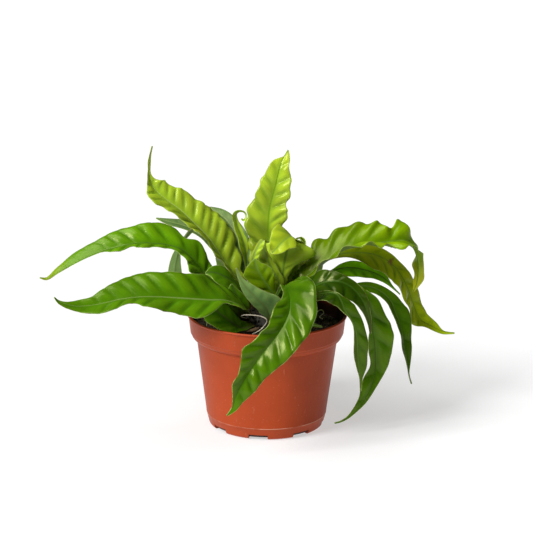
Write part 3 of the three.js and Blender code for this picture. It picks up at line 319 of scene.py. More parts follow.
        spine=[(24, 52, 140), (34, 80, 150), (43, 106, 145), (49, 126, 126), (52, 140, 98)],
        half=[2.4, 6, 11, 15, 16, 15, 12, 7, 1],
        roll=[0, 0, 0]),
]

# Each root in millimetres: its centre line's points, its radii along them, and its slot.
ROOTS = [
    dict(name="looped_root", slot="root", radius=[0.5, 0.55, 0.55, 0.5, 0.4],
        path=[(-14, -41, 103.7), (-7, -42, 108), (-1, -43, 115), (-1, -44, 120), (-8, -44, 123),
        (-20, -44, 124), (-25, -41, 122), (-24, -34, 118.5), (-20, -29, 116)]),
    dict(name="left_wall_root", slot="root", radius=[0.4, 0.5, 0.3],
        path=[(-54, -43, 100.8), (-57, -45, 106), (-59, -45.5, 112), (-58, -43, 116)]),
    dict(name="left_soil_root", slot="root", radius=[0.4, 0.5, 0.3],
        path=[(-43, -50, 101.2), (-46, -50, 106), (-49, -48, 112), (-53, -44, 114)]),
    dict(name="right_soil_root", slot="root", radius=[0.4, 0.5, 0.4],
        path=[(44, 20, 103.1), (50, 29, 106), (55, 33, 107), (57, 30, 104.5), (53, 22, 103),
        (57, 14, 102.3)]),
    dict(name="dry_stub", slot="dry_stalk", radius=[1.6, 1.8, 1.2, 0.5],
        path=[(-8.5, -31, 106.2), (-13.5, -34, 105.4), (-18.5, -36, 105), (-22.5, -38, 104.7)]),
]


# ---- settings ----

def length(name, description, default):
    return bpy.props.FloatProperty(
        name=name, description=description, default=default, unit="LENGTH", subtype="DISTANCE")


def lean(name, description, degrees):
    return bpy.props.FloatProperty(
        name=name, description=description, default=math.radians(degrees), unit="ROTATION",
        subtype="ANGLE")


def colour(name, description, default):
    return bpy.props.FloatVectorProperty(
        name=name, description=description, default=default, size=3, subtype="COLOR",
        min=0, max=1)


def share(name, description, default):
    return bpy.props.FloatProperty(
        name=name, description=description, default=default, min=0, max=4, subtype="FACTOR")


def power(name, description, default):
    return bpy.props.FloatProperty(name=name, description=description, default=default, min=0)


def number(name, description, default, least=0):
    return bpy.props.IntProperty(
        name=name, description=description, default=default, min=least)


class PotSettings(bpy.types.PropertyGroup):
    rim_radius: length("Rim radius", "Outside of the collar at its top", 79 * MM)
    collar_radius: length("Collar radius", "Outside of the collar at its lower edge", 76.4 * MM)
    collar_low: length("Collar's foot", "Height of the collar's lower edge", 95 * MM)
    body_radius: length("Body radius", "Outside of the body under the collar", 70 * MM)
    body_top: length("Body top", "Height where the body meets the collar", 88.6 * MM)
    line_radius: length("Mould line radius", "Outside of the pot at the mould line", 60.2 * MM)
    line_height: length("Mould line", "Height of the mould line above the foot", 12.1 * MM)
    foot_radius: length("Foot radius", "Outside of the pot at its underside", 58 * MM)
    wall: length("Wall", "Thickness of the body's wall", 1.6 * MM)
    rim_wall: length("Rim wall", "Thickness of the wall at the rim", 2 * MM)
    floor: length("Floor", "Thickness of the pot's floor", 2 * MM)
    bead: length("Bead", "How far the rolled bead stands out of the rim", 0.6 * MM)
    notch_width: length("Drain width", "Width of each drain opening", 19 * MM)
    notch_height: length("Drain height", "Height of each drain opening", 5 * MM)
    notches: number("Drains", "Number of drain openings round the foot", 8)
    steps: number("Steps", "Steps in a full turn of the pot", 224, 16)
    clay: colour("Plastic", "Colour of the moulded plastic", (0.40, 0.054, 0.010))
    scuff: colour("Scuffs", "Colour of the faint upright scuffs", (0.62, 0.34, 0.24))
    speck: colour("Specks", "Colour of the small nicks", (0.66, 0.38, 0.27))
    line: colour("Line", "Colour of the worn mould line", (0.66, 0.36, 0.24))
    # Painted shade: near black laid on the wall inside the pot, where the fronds shade it.
    painted_inner_shade: colour("Grime", "Colour of the wall inside, where soil clings", (0.016, 0.007, 0.005))


class SoilSettings(bpy.types.PropertyGroup):
    wall_gap: length("Wall gap", "Clearance between the soil and the pot", 0.4 * MM)
    clump: length("Clump", "Height of the soil's clumps", 1.5 * MM)
    crumbs: number("Crumbs", "Number of loose crumbs on the soil", 900)
    fibres: number("Fibres", "Number of loose fibres on the soil", 170)
    peat: colour("Peat", "Colour of the moist peat", (0.022, 0.013, 0.009))
    fibre: colour("Fibre", "Colour of the root fibres in the peat", (0.20, 0.14, 0.08))


class CrownSettings(bpy.types.PropertyGroup):
    scales: number("Scales", "Number of papery scales on the crown", 420)
    scale_length: length("Scale length", "Length of a papery scale", 6 * MM)
    # Near black: the crown's colour carries the painted shade of the hollow among the frond bases.
    crown_painted_shade: colour("Crown", "Colour of the crown", (0.022, 0.017, 0.008))
    root: colour("Root", "Colour of the bare roots", (0.62, 0.55, 0.42))
    dry: colour("Dry stalk", "Colour of the dry frond base", (0.26, 0.16, 0.085))


class FrondSettings(bpy.types.PropertyGroup):
    row: length("Row", "Distance between rows of the blade's grid", 1.2 * MM)
    columns: number("Columns", "Columns of grid across a blade", 24, 8)
    blade: length("Blade", "Thickness of the blade", 0.55 * MM)
    rib_height: length("Midrib", "How far the midrib stands over the upper face", 0.35 * MM)
    keel: length("Keel", "How far the midrib stands out below, at the base", 1.0 * MM)
    rib_width: length("Midrib width", "Half width of the midrib", 0.8 * MM)
    pleats: share("Pleats", "Strength of the cross pleats", 1)
    ruffles: share("Ruffles", "Strength of the slow waves in the margins", 1)
    roughness: share("Roughness", "Roughness of the upper face", 0.21)


class LeafColours(bpy.types.PropertyGroup):
    # Yellow and lime: the young fronds' paler green, with painted light shining through them.
    yellow: colour("Yellow", "Newest frond", (0.41, 0.56, 0.022))
    lime: colour("Lime", "Young fronds", (0.31, 0.455, 0.022))
    bright: colour("Bright", "Grown fronds in full light", (0.215, 0.39, 0.002))
    green: colour("Green", "Grown fronds", (0.085, 0.22, 0.002))
    olive: colour("Olive", "Ageing frond", (0.17, 0.235, 0.003))
    # Dark: the older fronds' deeper green, with painted shade for fronds that stand in shadow.
    dark: colour("Dark", "Oldest fronds", (0.055, 0.145, 0.002))
    grey: colour("Grey", "Fronds that show the underside", (0.115, 0.21, 0.055))
    pale: colour("Pale rib", "A pale midrib and the margin's fine edge", (0.42, 0.52, 0.16))
    dry: colour("Dry", "Browned base, margin and specks", (0.20, 0.10, 0.03))
    tip: colour("Tip", "A yellowing tip", (0.45, 0.50, 0.015))


class StageSettings(bpy.types.PropertyGroup):
    distance: length("Camera distance", "How far the camera stands in front", 1.8)
    height: length("Camera height", "Height of the camera over the floor", 0.6463)
    side: length("Camera side", "How far the camera stands to the right", -1.1 * MM)
    tilt: lean("Tilt", "How far the camera looks down", 15.09)
    roll: lean("Roll", "How far the camera leans", 0.50)
    lens: bpy.props.FloatProperty(
        name="Lens", description="Focal length in millimetres on a 36 mm frame", default=127.4,
        min=1, unit="CAMERA")
    key: power("Key light", "Strength of the wide soft light at the front left", 2.95)
    top: power("Top light", "Strength of the wider soft light high on the left", 1.5)
    sky: power("Room", "Strength of the even light all round", 0.05)
    floor: colour("Floor", "Colour of the floor", (0.5, 0.5, 0.5))
    floor_glow: share("Floor glow", "Light that the floor itself gives off", 0.52)


SETTINGS = {
    "fern_pot": PotSettings,
    "fern_soil": SoilSettings,
    "fern_crown": CrownSettings,
    "fern_fronds": FrondSettings,
    "fern_leaf": LeafColours,
    "fern_stage": StageSettings,
}


# ---- materials ----

# How fine each pattern is, in cells per metre.
SCALES = dict(
    veins=820, leaf_mottle=38, leaf_grain=1500, edge_wear=110, specks=165, speck_patches=60,
    blotch_edge=260, plastic_clouds=14, scuffs=90, plastic_specks=210, line_breaks=55,
    plastic_grain=900, peat_crumbs=330, peat_clumps=70, peat_fibres=950, crown_scale=420,
    root_fibre=700, bare_root=240, dry_stalk=300, floor_haze=3)

# Leaf tints: what a frond's colour is multiplied by, then what is added, in red, green and blue.
CREST_HIGHLIGHT = ((1.45, 1.28, 1.1), (0.012, 0, 0))       # painted highlight on pleat tops, also laid along the margin
CREASE_SHADE = ((0.52, 0.62, 0.7), (0, 0, 0))          # painted shade in the creases between the pleats
DULL = ((0.7, 0.7, 0.7), (0.04, 0.06, 0.016))    # the underside
DARK_RIB = ((0.36, 0.52, 0.3), (0, 0, 0))        # a midrib that isn't pale

VEIN_STRETCH = 0.06      # how much finer the veins are along the frond than across it
RIB_MARK = (1.25 * MM, 0.45 * MM)    # half width of the midrib's colour, near the crown and far out
EDGE_MARK = 0.55 * MM    # width of the browned or pale margin
BROWN_BASE = 26 * MM     # how far out from the crown a frond is browned
BLOTCH_RAGGED = 7 * MM   # how ragged the edge of a brown blotch is
UNDER_ROUGHNESS = 0.48
LEAF_SPECULAR = 0.32
LEAF_GLOSS = (1.0, 1.0, 0.45, 1.0)
SCUFF_STRETCH = 3.0      # the pot's scuffs run up and down, this much narrower than tall
PLASTIC_SPECULAR = 0.24


class Finish:
    """A material and short calls for the nodes that its surface is made of."""

    def __init__(self, name):
        self.material = bpy.data.materials.new(name)
        self.material.use_nodes = True
        self.tree = self.material.node_tree
        self.surface = self.tree.nodes["Principled BSDF"]
        self.wire(1.45, self.surface.inputs["IOR"])

    def wire(self, value, socket):
        """Puts a constant in a socket, or links another node's output to it."""
        if isinstance(value, bpy.types.NodeSocket):
            self.tree.links.new(value, socket)
        elif hasattr(socket.default_value, "__len__"):
            filled = list(value) + [1.0] * (len(socket.default_value) - len(value))
            socket.default_value = filled
        else:
            socket.default_value = value

    def node(self, kind, inputs, **settings):
        made = self.tree.nodes.new("ShaderNode" + kind)
        for key, value in settings.items():
            setattr(made, key, value)
        for key, value in inputs.items():
            self.wire(value, made.inputs[key])
        return made

    def attribute(self, name):
        """The three parts of a vector stored on the piece's own points."""
        stored = self.node("Attribute", {}, attribute_name=name, attribute_type="GEOMETRY")
        return self.parts(stored.outputs["Vector"])

    def parts(self, vector):
        return self.node("SeparateXYZ", {"Vector": vector}).outputs

    def place(self):
        return self.node("TexCoord", {}).outputs["Object"]

    def vector(self, x, y, z):
        return self.node("CombineXYZ", {"X": x, "Y": y, "Z": z}).outputs[0]

    def sum(self, operation, first, second=0.0, third=0.0):
        made = self.node("Math", {0: first, 1: second, 2: third}, operation=operation)
        return made.outputs[0]

    def measure(self, operation, first, second=(0, 0, 0)):
        """The DISTANCE between two places, or the LENGTH of one vector."""
        made = self.node("VectorMath", {0: first, 1: second}, operation=operation)
        return made.outputs["Value"]

    def noise(self, vector, kind, detail=2.0, roughness=0.5):
        made = self.node("TexNoise", {
            "Vector": vector, "Scale": SCALES[kind], "Detail": detail, "Roughness": roughness})
        return made.outputs["Fac"]

    def cells(self, vector, kind):
        made = self.node("TexVoronoi", {"Vector": vector, "Scale": SCALES[kind]})
        return made.outputs["Distance"]

    def fade(self, value, low, high, start=0.0, end=1.0):
        """A smooth step from start to end as value goes from low to high."""
        made = self.node("MapRange", {
            "Value": value, "From Min": low, "From Max": high, "To Min": start, "To Max": end},
            interpolation_type="SMOOTHSTEP")
        return made.outputs[0]

    def blend(self, factor, first, second):
        """The first colour where factor is 0, and the second where it is 1."""
        made = self.node("Mix", {"Factor": factor, "A": first, "B": second}, data_type="RGBA")
        return made.outputs["Result"]

    def lay(self, skin, color, value, low, high, most=1.0):
        """The skin under a colour that comes in, up to most, as value goes from low to high."""
        return self.blend(self.fade(value, low, high, 0.0, most), skin, color)

    def mottled(self, value, low, high, color, dark, light):
        """A colour's dark shade where value is low, going over to its light shade."""
        return self.lay(shade(color, dark), shade(color, light), value, low, high)

    def scaled(self, color, factor):
        made = self.node("VectorMath", {0: color, "Scale": factor}, operation="SCALE")
        return made.outputs["Vector"]

    def bump(self, height, distance, strength, under=None):
        inputs = {"Height": height, "Distance": distance, "Strength": strength}
        if under is not None:
            inputs["Normal"] = under
        return self.node("Bump", inputs).outputs[0]

    def finish(self, color, roughness, normal=None):
        self.wire(color, self.surface.inputs["Base Color"])
        self.wire(roughness, self.surface.inputs["Roughness"])
        if normal is not None:
            self.wire(normal, self.surface.inputs["Normal"])
        return self.material


def shade(color, factor):
    return [min(1.0, part * factor) for part in color]


def tinted(color, tint):
    return [min(1.0, part * times + more) for part, times, more in zip(color, *tint)]


def leaf_finish(name, color, leaf, fronds, blotch=None):
    """A frond's skin: veins, midrib, pleats with painted highlight and shade, browned base and
    margin, yellow tip, dull underside.

    It reads three vectors that each blade carries: along (distance from the crown, signed distance
    from the midrib, 1 on the upper face), form (distance to the margin, pleat, yellowing) and
    age (how pale the midrib is, how speckled the frond is, and the painted light
    and shade that scales its green).
    """
    look = Finish(name)
    run, offset, upper = look.attribute("along")
    margin, pleat, yellowing = look.attribute("form")
    rib_tone, speck, light = look.attribute("age")
    across = look.sum("ABSOLUTE", offset)
    place = look.place()

    vein_run = look.sum("MULTIPLY_ADD", across, -VEIN_SLANT, run)
    vein_place = look.vector(vein_run, look.sum("MULTIPLY", across, VEIN_STRETCH), upper)
    veins = look.noise(vein_place, "veins", 3.0, 0.6)
    mottle = look.noise(place, "leaf_mottle", 3.0, 0.55)
    grain = look.noise(place, "leaf_grain")

    crest = tinted(color, CREST_HIGHLIGHT)
    skin = look.mottled(mottle, 0.35, 0.68, color, 0.80, 1.18)
    # Painted shade in the pleats' creases.
    skin = look.blend(look.fade(pleat, -0.9, 0.7, 0.15, 1.0), tinted(color, CREASE_SHADE), skin)
    # Painted highlight on the pleats' tops.
    skin = look.lay(skin, crest, pleat, 0.1, 1.0, 0.40)
    skin = look.lay(skin, shade(color, 0.62), veins, 0.50, 0.70, 0.34)
    # The same lighter crest colour is laid over the last 9 mm to the margin.
    skin = look.lay(skin, crest, margin, 9 * MM, 0.0, 0.22)

    dull = tinted(color, DULL)
    under = look.lay(dull, shade(dull, 0.72), veins, 0.42, 0.66, 0.5)
    # Painted light and shade: the green is raised for fronds in shadow, lowered for well-lit ones.
    skin = look.scaled(look.blend(upper, under, skin), light)
    skin = look.lay(skin, leaf.tip, yellowing, 0.15, 1.0)

    rib_colour = look.blend(rib_tone, tinted(color, DARK_RIB), leaf.pale)
    rib_colour = look.blend(upper, shade(dull, 0.78), rib_colour)
    rib = look.sum("LESS_THAN", across, look.fade(run, 0.02, 0.22, *RIB_MARK))
    rib = look.sum("MULTIPLY", rib, look.fade(run, 0.0, 0.05, 0.85, 0.75))
    skin = look.blend(rib, skin, rib_colour)

    edge_wear = look.noise(place, "edge_wear")
    edge_colour = look.lay(leaf.pale, leaf.dry, edge_wear, 0.47, 0.60)
    skin = look.lay(skin, edge_colour, margin, EDGE_MARK, 0.15 * MM, 0.72)

    skin = look.lay(skin, shade(leaf.dry, 0.35), run, BROWN_BASE, 4 * MM)
    spots = look.fade(look.cells(place, "specks"), 0.17, 0.10)
    chosen = look.fade(look.noise(place, "speck_patches"), 0.52, 0.58)
    spots = look.sum("MULTIPLY", spots, look.sum("MULTIPLY", chosen, speck))
    skin = look.blend(spots, skin, shade(leaf.dry, 0.8))
    if blotch:
        *centre, radius = [part * MM for part in blotch]
        away = look.measure("DISTANCE", place, centre)
        ragged = look.noise(place, "blotch_edge", 3.0)
        ragged = look.sum("MULTIPLY_ADD", ragged, BLOTCH_RAGGED, away)
        inside, outside = radius + 2.5 * MM, radius + 4.5 * MM
        skin = look.lay(skin, shade(leaf.dry, 0.7), ragged, outside, inside, 0.9)

    sheen = look.fade(grain, 0.3, 0.7, fronds.roughness - 0.04, fronds.roughness + 0.05)
    roughness = look.blend(upper, [UNDER_ROUGHNESS] * 3, look.vector(sheen, sheen, sheen))
    normal = look.bump(veins, 0.16 * MM, 0.55)
    normal = look.bump(grain, 0.03 * MM, 0.35, normal)
    look.wire(LEAF_SPECULAR, look.surface.inputs["Specular IOR Level"])
    look.wire(LEAF_GLOSS, look.surface.inputs["Specular Tint"])
    return look.finish(skin, roughness, normal)


def pot_finish(pot):
    """Moulded plastic: fine satin skin, faint scuffs, a pale mould line, painted shade inside."""
    look = Finish("nursery_plastic")
    place = look.place()
    x, y, height = look.parts(place)
    radius = look.measure("LENGTH", look.vector(x, y, 0.0))
    cloud = look.noise(place, "plastic_clouds", 4.0, 0.6)
    skin = look.mottled(cloud, 0.3, 0.7, pot.clay, 0.90, 1.08)
    scuff_x, scuff_y = (look.sum("MULTIPLY", part, SCUFF_STRETCH) for part in (x, y))
    scuffs = look.noise(look.vector(scuff_x, scuff_y, height), "scuffs", 5.0, 0.7)
    skin = look.lay(skin, pot.scuff, scuffs, 0.60, 0.78, 0.30)
    skin = look.lay(skin, pot.speck, look.cells(place, "plastic_specks"), 0.16, 0.06, 0.10)

    off_line = look.sum("ABSOLUTE", look.sum("SUBTRACT", height, pot.line_height))
    line = look.fade(off_line, 0.55 * MM, 0.10 * MM)
    broken = look.fade(look.noise(place, "line_breaks", 3.0), 0.36, 0.56, 0.15, 0.85)
    skin = look.blend(look.sum("MULTIPLY", line, broken), skin, pot.line)

    # Painted shade inside the wall: near black, deeper further down from the rim.
    flare = (pot.rim_radius - pot.collar_radius) / (pot_height() - pot.collar_low)
    outside = look.sum("MULTIPLY_ADD", height, flare, pot.collar_radius - pot.collar_low * flare)
    inner = look.sum("LESS_THAN", radius, look.sum("SUBTRACT", outside, 1 * MM))
    inside = look.sum("MULTIPLY", inner, look.sum("GREATER_THAN", height, pot.collar_low))
    inner_shade_depth = look.fade(height, pot_height() - 1 * MM, pot_height() - 7 * MM, 0.55, 0.97)
    skin = look.blend(look.sum("MULTIPLY", inside, inner_shade_depth), skin, pot.painted_inner_shade)

    look.wire(PLASTIC_SPECULAR, look.surface.inputs["Specular IOR Level"])
    roughness = look.fade(scuffs, 0.35, 0.75, 0.40, 0.56)
    normal = look.bump(look.noise(place, "plastic_grain"), 0.05 * MM, 0.35)
    normal = look.bump(cloud, 0.6 * MM, 0.25, normal)
    return look.finish(skin, roughness, normal)


def soil_finish(soil):
    """Moist peat: near black, with brown crumbs and pale specks of fibre."""
    look = Finish("peat")
    place = look.place()
    crumbs = look.noise(place, "peat_crumbs", 5.0, 0.65)
    clumps = look.noise(place, "peat_clumps", 3.0)
    skin = look.mottled(crumbs, 0.35, 0.66, soil.peat, 0.45, 2.6)
    skin = look.lay(skin, shade(soil.peat, 3.4), clumps, 0.5, 0.7, 0.45)
    skin = look.lay(skin, soil.fibre, look.noise(place, "peat_fibres", 3.0), 0.69, 0.76, 0.65)
    roughness = look.fade(crumbs, 0.3, 0.7, 0.72, 0.96)
    return look.finish(skin, roughness, look.bump(crumbs, 0.9 * MM, 0.8))


def fibre_finish(name, color):
    """Dry plant fibre: roots, dry stalk and the crown's scales, streaked and dull."""
    look = Finish(name)
    streaks = look.noise(look.place(), name, 4.0, 0.6)
    skin = look.mottled(streaks, 0.32, 0.68, color, 0.55, 1.25)
    roughness = look.fade(streaks, 0.3, 0.7, 0.55, 0.85)
    return look.finish(skin, roughness, look.bump(streaks, 0.25 * MM, 0.7))


def floor_finish(color, glow):
    """A plain pale floor that gives off a little light of its own."""
    look = Finish("studio_floor")
    haze = look.noise(look.place(), "floor_haze")
    look.wire((1, 1, 1), look.surface.inputs["Emission Color"])
    look.wire(glow, look.surface.inputs["Emission Strength"])
    return look.finish(look.blend(haze, shade(color, 0.99), color), 0.8)


# ---- meshes ----

WELD = 0.01 * MM         # points nearer than this become one
FINE_STEPS = 600         # steps that a curve is measured in
SEED_SHIFTS = (7.31, 3.17)    # how far apart two seeds' lines of noise lie


def new_piece(name, bm, material, smooth=True):
    """Turns a bmesh into an object of the scene."""
    mesh = bpy.data.meshes.new(name)
    bm.to_mesh(mesh)
    bm.free()
    for face in mesh.polygons:
        face.use_smooth = smooth
    mesh.materials.append(material)
    piece = bpy.data.objects.new(name, mesh)
    bpy.context.scene.collection.objects.link(piece)
    return piece


def hand_over(piece, node):
    """The piece rides on the one body and stands for its CAD node, which it hides."""
    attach(piece, BODY)
    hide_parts(node)


def mend(bm):
    """Merges what meets, drops what has no area, and turns the faces outwards."""
    bmesh.ops.remove_doubles(bm, verts=bm.verts[:], dist=WELD)
    bmesh.ops.dissolve_degenerate(bm, dist=WELD, edges=bm.edges[:])
    bmesh.ops.recalc_face_normals(bm, faces=bm.faces[:])


def turned(profile, steps):
    """A closed body of revolution from [radius, height] points that start and end on the axis."""
    bm = bmesh.new()
    points = [bm.verts.new((radius, 0, height)) for radius, height in profile]
    edges = [bm.edges.new(pair) for pair in zip(points, points[1:])]
    bmesh.ops.spin(
        bm, geom=points + edges, cent=(0, 0, 0), axis=(0, 0, 1), angle=2 * math.pi,
        steps=steps, use_merge=True)
    mend(bm)
    return bm


def smooth_at(values, t):
    """A smooth curve through evenly spaced numbers or vectors, for t from 0 to 1."""
    last = len(values) - 1
    place = min(t * last, last - 1e-9)
    i = int(place)
    f = place - i
    b, c = values[i], values[i + 1]
    a = values[i - 1] if i else 2 * b - c
    d = values[i + 2] if i + 2 <= last else 2 * c - b
    return (2 * b + (c - a) * f + (2 * a - 5 * b + 4 * c - d) * f * f
            + (3 * b - a - 3 * c + d) * f ** 3) * 0.5


def even_points(through, count):
    """count + 1 evenly spaced points of the curve through the given ones, and its length."""
    dense = [smooth_at(through, i / FINE_STEPS) for i in range(FINE_STEPS + 1)]
    travelled = [0.0]
    for before, after in zip(dense, dense[1:]):
        travelled.append(travelled[-1] + (after - before).length)
    whole = travelled[-1]
    points, j = [], 0
    for i in range(count + 1):
        target = whole * i / count
        while j < FINE_STEPS - 1 and travelled[j + 1] < target:
            j += 1
        part = (target - travelled[j]) / (travelled[j + 1] - travelled[j])
        points.append(dense[j].lerp(dense[j + 1], min(part, 1.0)))
    return points, whole


def tangents_of(points):
    """The direction of the curve at each point."""
    last = len(points) - 1
    return [
        (points[min(i + 1, last)] - points[max(i - 1, 0)]).normalized()
        for i in range(last + 1)
    ]


def direction(around, up):
    """One unit towards a bearing and a height, both in degrees."""
    around, up = math.radians(around), math.radians(up)
    return Vector((
        math.cos(around) * math.cos(up), math.sin(around) * math.cos(up), math.sin(up)))


def noise_1d(place, seed):
    """Smooth noise from about -1 to 1 along a line."""
    return 2.0 * noise.noise(Vector((place, *(seed * shift for shift in SEED_SHIFTS))))


def wander(run, drift, seed):
    """Smooth noise along a frond, for a length and an amount."""
    reach, amount = drift
    return amount * noise_1d(run / reach, seed)


def smooth_step(low, high, value):
    """From 0 at low to 1 at high, level at both ends."""
    t = min(1.0, max(0.0, (value - low) / (high - low)))
    return t * t * (3 - 2 * t)


# ---- fronds ----

VEIN_SLANT = 0.75        # how far a vein runs towards the tip for each unit out to the margin
CREASE = 1.5             # how narrow the creases are between the rounded pleats
PLEAT_STRENGTH = 0.85    # how high the pleats are on average, as a share of their row's height
PLEAT_START = 0.10       # the pleats start at this share of the frond's length
PLEAT_FULL = 0.12        # and are at their full height this share further on
TIP_CALM = (0.55, 0.85)  # they grow lower again between these shares of the length
TIP_YELLOW = 0.78        # the tip is yellowed from this share on
MARGIN_CALM = 0.62       # how much lower the pleats are at the margin than half way out
HAND_STEP = 0.35         # how far the two halves' pleats are out of step, in pleats
RUFFLE_STEP = 2.1        # and their ruffles, in radians each way
LEAST_WIDTH = 0.7 * MM   # half width that a blade never falls under
SLAB = 0.1               # thickness of the slab that a blade is shaped from
RIB_TAPER = 0.75         # how much lower the midrib is at the tip than at the base
MARGIN_TAPER = 0.45      # how much thinner the blade is at the margin

# How a frond's waves wander along it: over what length, and how far.
PLEAT_DRIFT = (45 * MM, 0.30)      # their place, in pleats
PLEAT_SWELL = (30 * MM, 0.35)      # their height, as a share of it
RUFFLE_DRIFT = (90 * MM, 3.0)      # the ruffles' place, in radians
NICK_LENGTH = 9 * MM               # length of one bump in the margin


class Blade:
    """A frond's middle surface: where it is, how wide, and how it waves."""

    def __init__(self, row, seed, settings):
        self.row = {**PLAIN_FROND, **row}
        self.seed = seed
        start = CROWN_CENTRE + direction(*row["root"]) * (CROWN_RADIUS + CROWN_GAP)
        neck = start + direction(*row["root"]) * NECK
        through = [start, neck] + [Vector(point) * MM for point in row["spine"]]
        _, whole = even_points(through, 2)
        self.rows = max(24, round(whole / settings.row))
        self.points, self.length = even_points(through, self.rows)
        self.tangents = tangents_of(self.points)
        self.pleats = settings.pleats
        self.ruffles = settings.ruffles
        self.find_frames()

    def find_frames(self):
        """Which way is across and which is up at every row, and how wide the blade is there."""
        if "heading" in self.row:
            heading = direction(self.row["heading"], 0)
        else:
            heading = self.points[-1] - self.points[0]
            heading.z = 0
            heading.normalize()
        level = Vector((0, 0, 1)).cross(heading)
        self.sides, self.faces = [], []
        for i, tangent in enumerate(self.tangents):
            u = i / self.rows
            side = (level - tangent * level.dot(tangent)).normalized()
            face = tangent.cross(side)
            roll = math.radians(smooth_at(self.row["roll"], u))
            self.sides.append(side * math.cos(roll) + face * math.sin(roll))
            self.faces.append(face * math.cos(roll) - side * math.sin(roll))
        self.widths = {1: self.half_widths("left"), -1: self.half_widths("right")}

    def half_widths(self, hand):
        widths = self.row.get(hand) or self.row["half"]
        return [
            max(LEAST_WIDTH, smooth_at(widths, i / self.rows) * MM) for i in range(self.rows + 1)]

    def wave(self, run, out, hand):
        """Height of the pleats and ruffles, in metres, and the pleats' own wave from -1 to 1."""
        spacing, height = self.row["pleat"]
        slow_spacing, slow_height = self.row["ruffle"]
        seed = self.seed + (0.5 if hand > 0 else 0.0)
        turn = run / (spacing * MM) + wander(run, PLEAT_DRIFT, seed)
        turn = 2 * math.pi * (turn + (HAND_STEP if hand > 0 else 0.0))
        crest = 1 - 2 * (1 - abs(math.sin(turn / 2))) ** CREASE
        strength = PLEAT_STRENGTH + wander(run, PLEAT_SWELL, seed + 40)
        rise = smooth_step(0.0, 0.5, out) * (1 - MARGIN_CALM * smooth_step(0.6, 1.0, out))
        pleat = height * MM * self.pleats * strength * rise * crest
        slow = 2 * math.pi * run / (slow_spacing * MM)
        slow += wander(run, RUFFLE_DRIFT, seed + 9)
        swing = math.sin(slow + RUFFLE_STEP * hand)
        ruffle = slow_height * MM * self.ruffles * out * out * swing
        return pleat + ruffle, crest * strength * rise

    def at(self, i, across):
        """The surface at row i and across from -1 to 1: point, pleat and distance to the margin."""
        out, hand = abs(across), (1 if across > 0 else -1)
        u = i / self.rows
        run = u * self.length
        half = self.widths[hand][i]
        slant_run = run - out * half * VEIN_SLANT
        height, pleat = self.wave(slant_run, out, hand)
        uneven = noise_1d(run / NICK_LENGTH, self.seed + 3 * hand + 11)
        bulge = self.row["nick"] * uneven + self.row["scallop"] * pleat
        half *= 1 + bulge * out * out * smooth_step(5 * MM, 14 * MM, half)
        room = smooth_step(PLEAT_START, PLEAT_START + PLEAT_FULL, u)
        room *= smooth_step(2 * MM, 13 * MM, half)
        room *= 1 - self.row["calm"] * smooth_step(*TIP_CALM, u)
        fold = math.radians(self.row["fold"])
        side, face = self.sides[i] * hand, self.faces[i]
        point = self.points[i] + side * (half * out * math.cos(fold))
        point += face * (half * (math.sin(fold) * out - self.row["curl"] * out * out))
        point += (face * math.cos(fold) - side * math.sin(fold)) * (height * room)
        return point, pleat * room, half * (1 - out)


def spread(share_across):
    """Columns of the grid lie closer together near the midrib."""
    return math.copysign(abs(share_across) ** 1.5, share_across)


def make_frond(row, seed, settings, material):
    """A slab of fine grid whose points are moved to their places on the blade."""
    blade = Blade(row, seed, settings)
    rows, columns = blade.rows, settings.columns
    bm = bmesh.new()
    bmesh.ops.create_grid(bm, x_segments=rows, y_segments=columns, size=0.5)
    bmesh.ops.solidify(bm, geom=bm.faces[:], thickness=SLAB)
    along, form, age = (
        bm.verts.layers.float_vector.new(name) for name in ("along", "form", "age"))
    middle = [
        [blade.at(i, spread(2 * j / columns - 1)) for j in range(columns + 1)]
        for i in range(rows + 1)
    ]
    top_height = max(vert.co.z for vert in bm.verts)
    speckled = 1.0 if row["tone"] == "yellow" else 0.0
    base_painted_light, tip_painted_light = blade.row["light"]
    for vert in bm.verts:
        i = round((vert.co.x + 0.5) * rows)
        j = round((vert.co.y + 0.5) * columns)
        upper = vert.co.z > top_height - SLAB / 2
        point, pleat, margin = middle[i][j]
        ahead, behind = middle[min(i + 1, rows)][j][0], middle[max(i - 1, 0)][j][0]
        left, right = middle[i][max(j - 1, 0)][0], middle[i][min(j + 1, columns)][0]
        normal = (ahead - behind).cross(right - left).normalized()
        across = spread(2 * j / columns - 1)
        offset = across * blade.widths[1 if across > 0 else -1][i]
        u = i / rows
        rib = math.exp(-(offset / settings.rib_width) ** 2)
        taper = 1 - RIB_TAPER * u
        thin = 0.5 * settings.blade * (1 - MARGIN_TAPER * abs(across) ** 3)
        if upper:
            vert.co = point + normal * (thin + settings.rib_height * rib * taper)
        else:
            vert.co = point - normal * (thin + settings.keel * rib * taper)
        vert[along] = (u * blade.length, offset, 1.0 if upper else 0.0)
        yellowing = blade.row["tip"] * smooth_step(TIP_YELLOW, 1.0, u + 0.05 * abs(across))
        vert[form] = (margin, pleat, yellowing)
        # Its third part is painted light and shade, from base to tip.
        vert[age] = (blade.row["rib"], speckled, base_painted_light + (tip_painted_light - base_painted_light) * u)
    bmesh.ops.recalc_face_normals(bm, faces=bm.faces[:])
    piece = new_piece(row["name"] + "_blade", bm, material)
    hand_over(piece, row["name"])


# ---- pot, soil, crown and roots ----

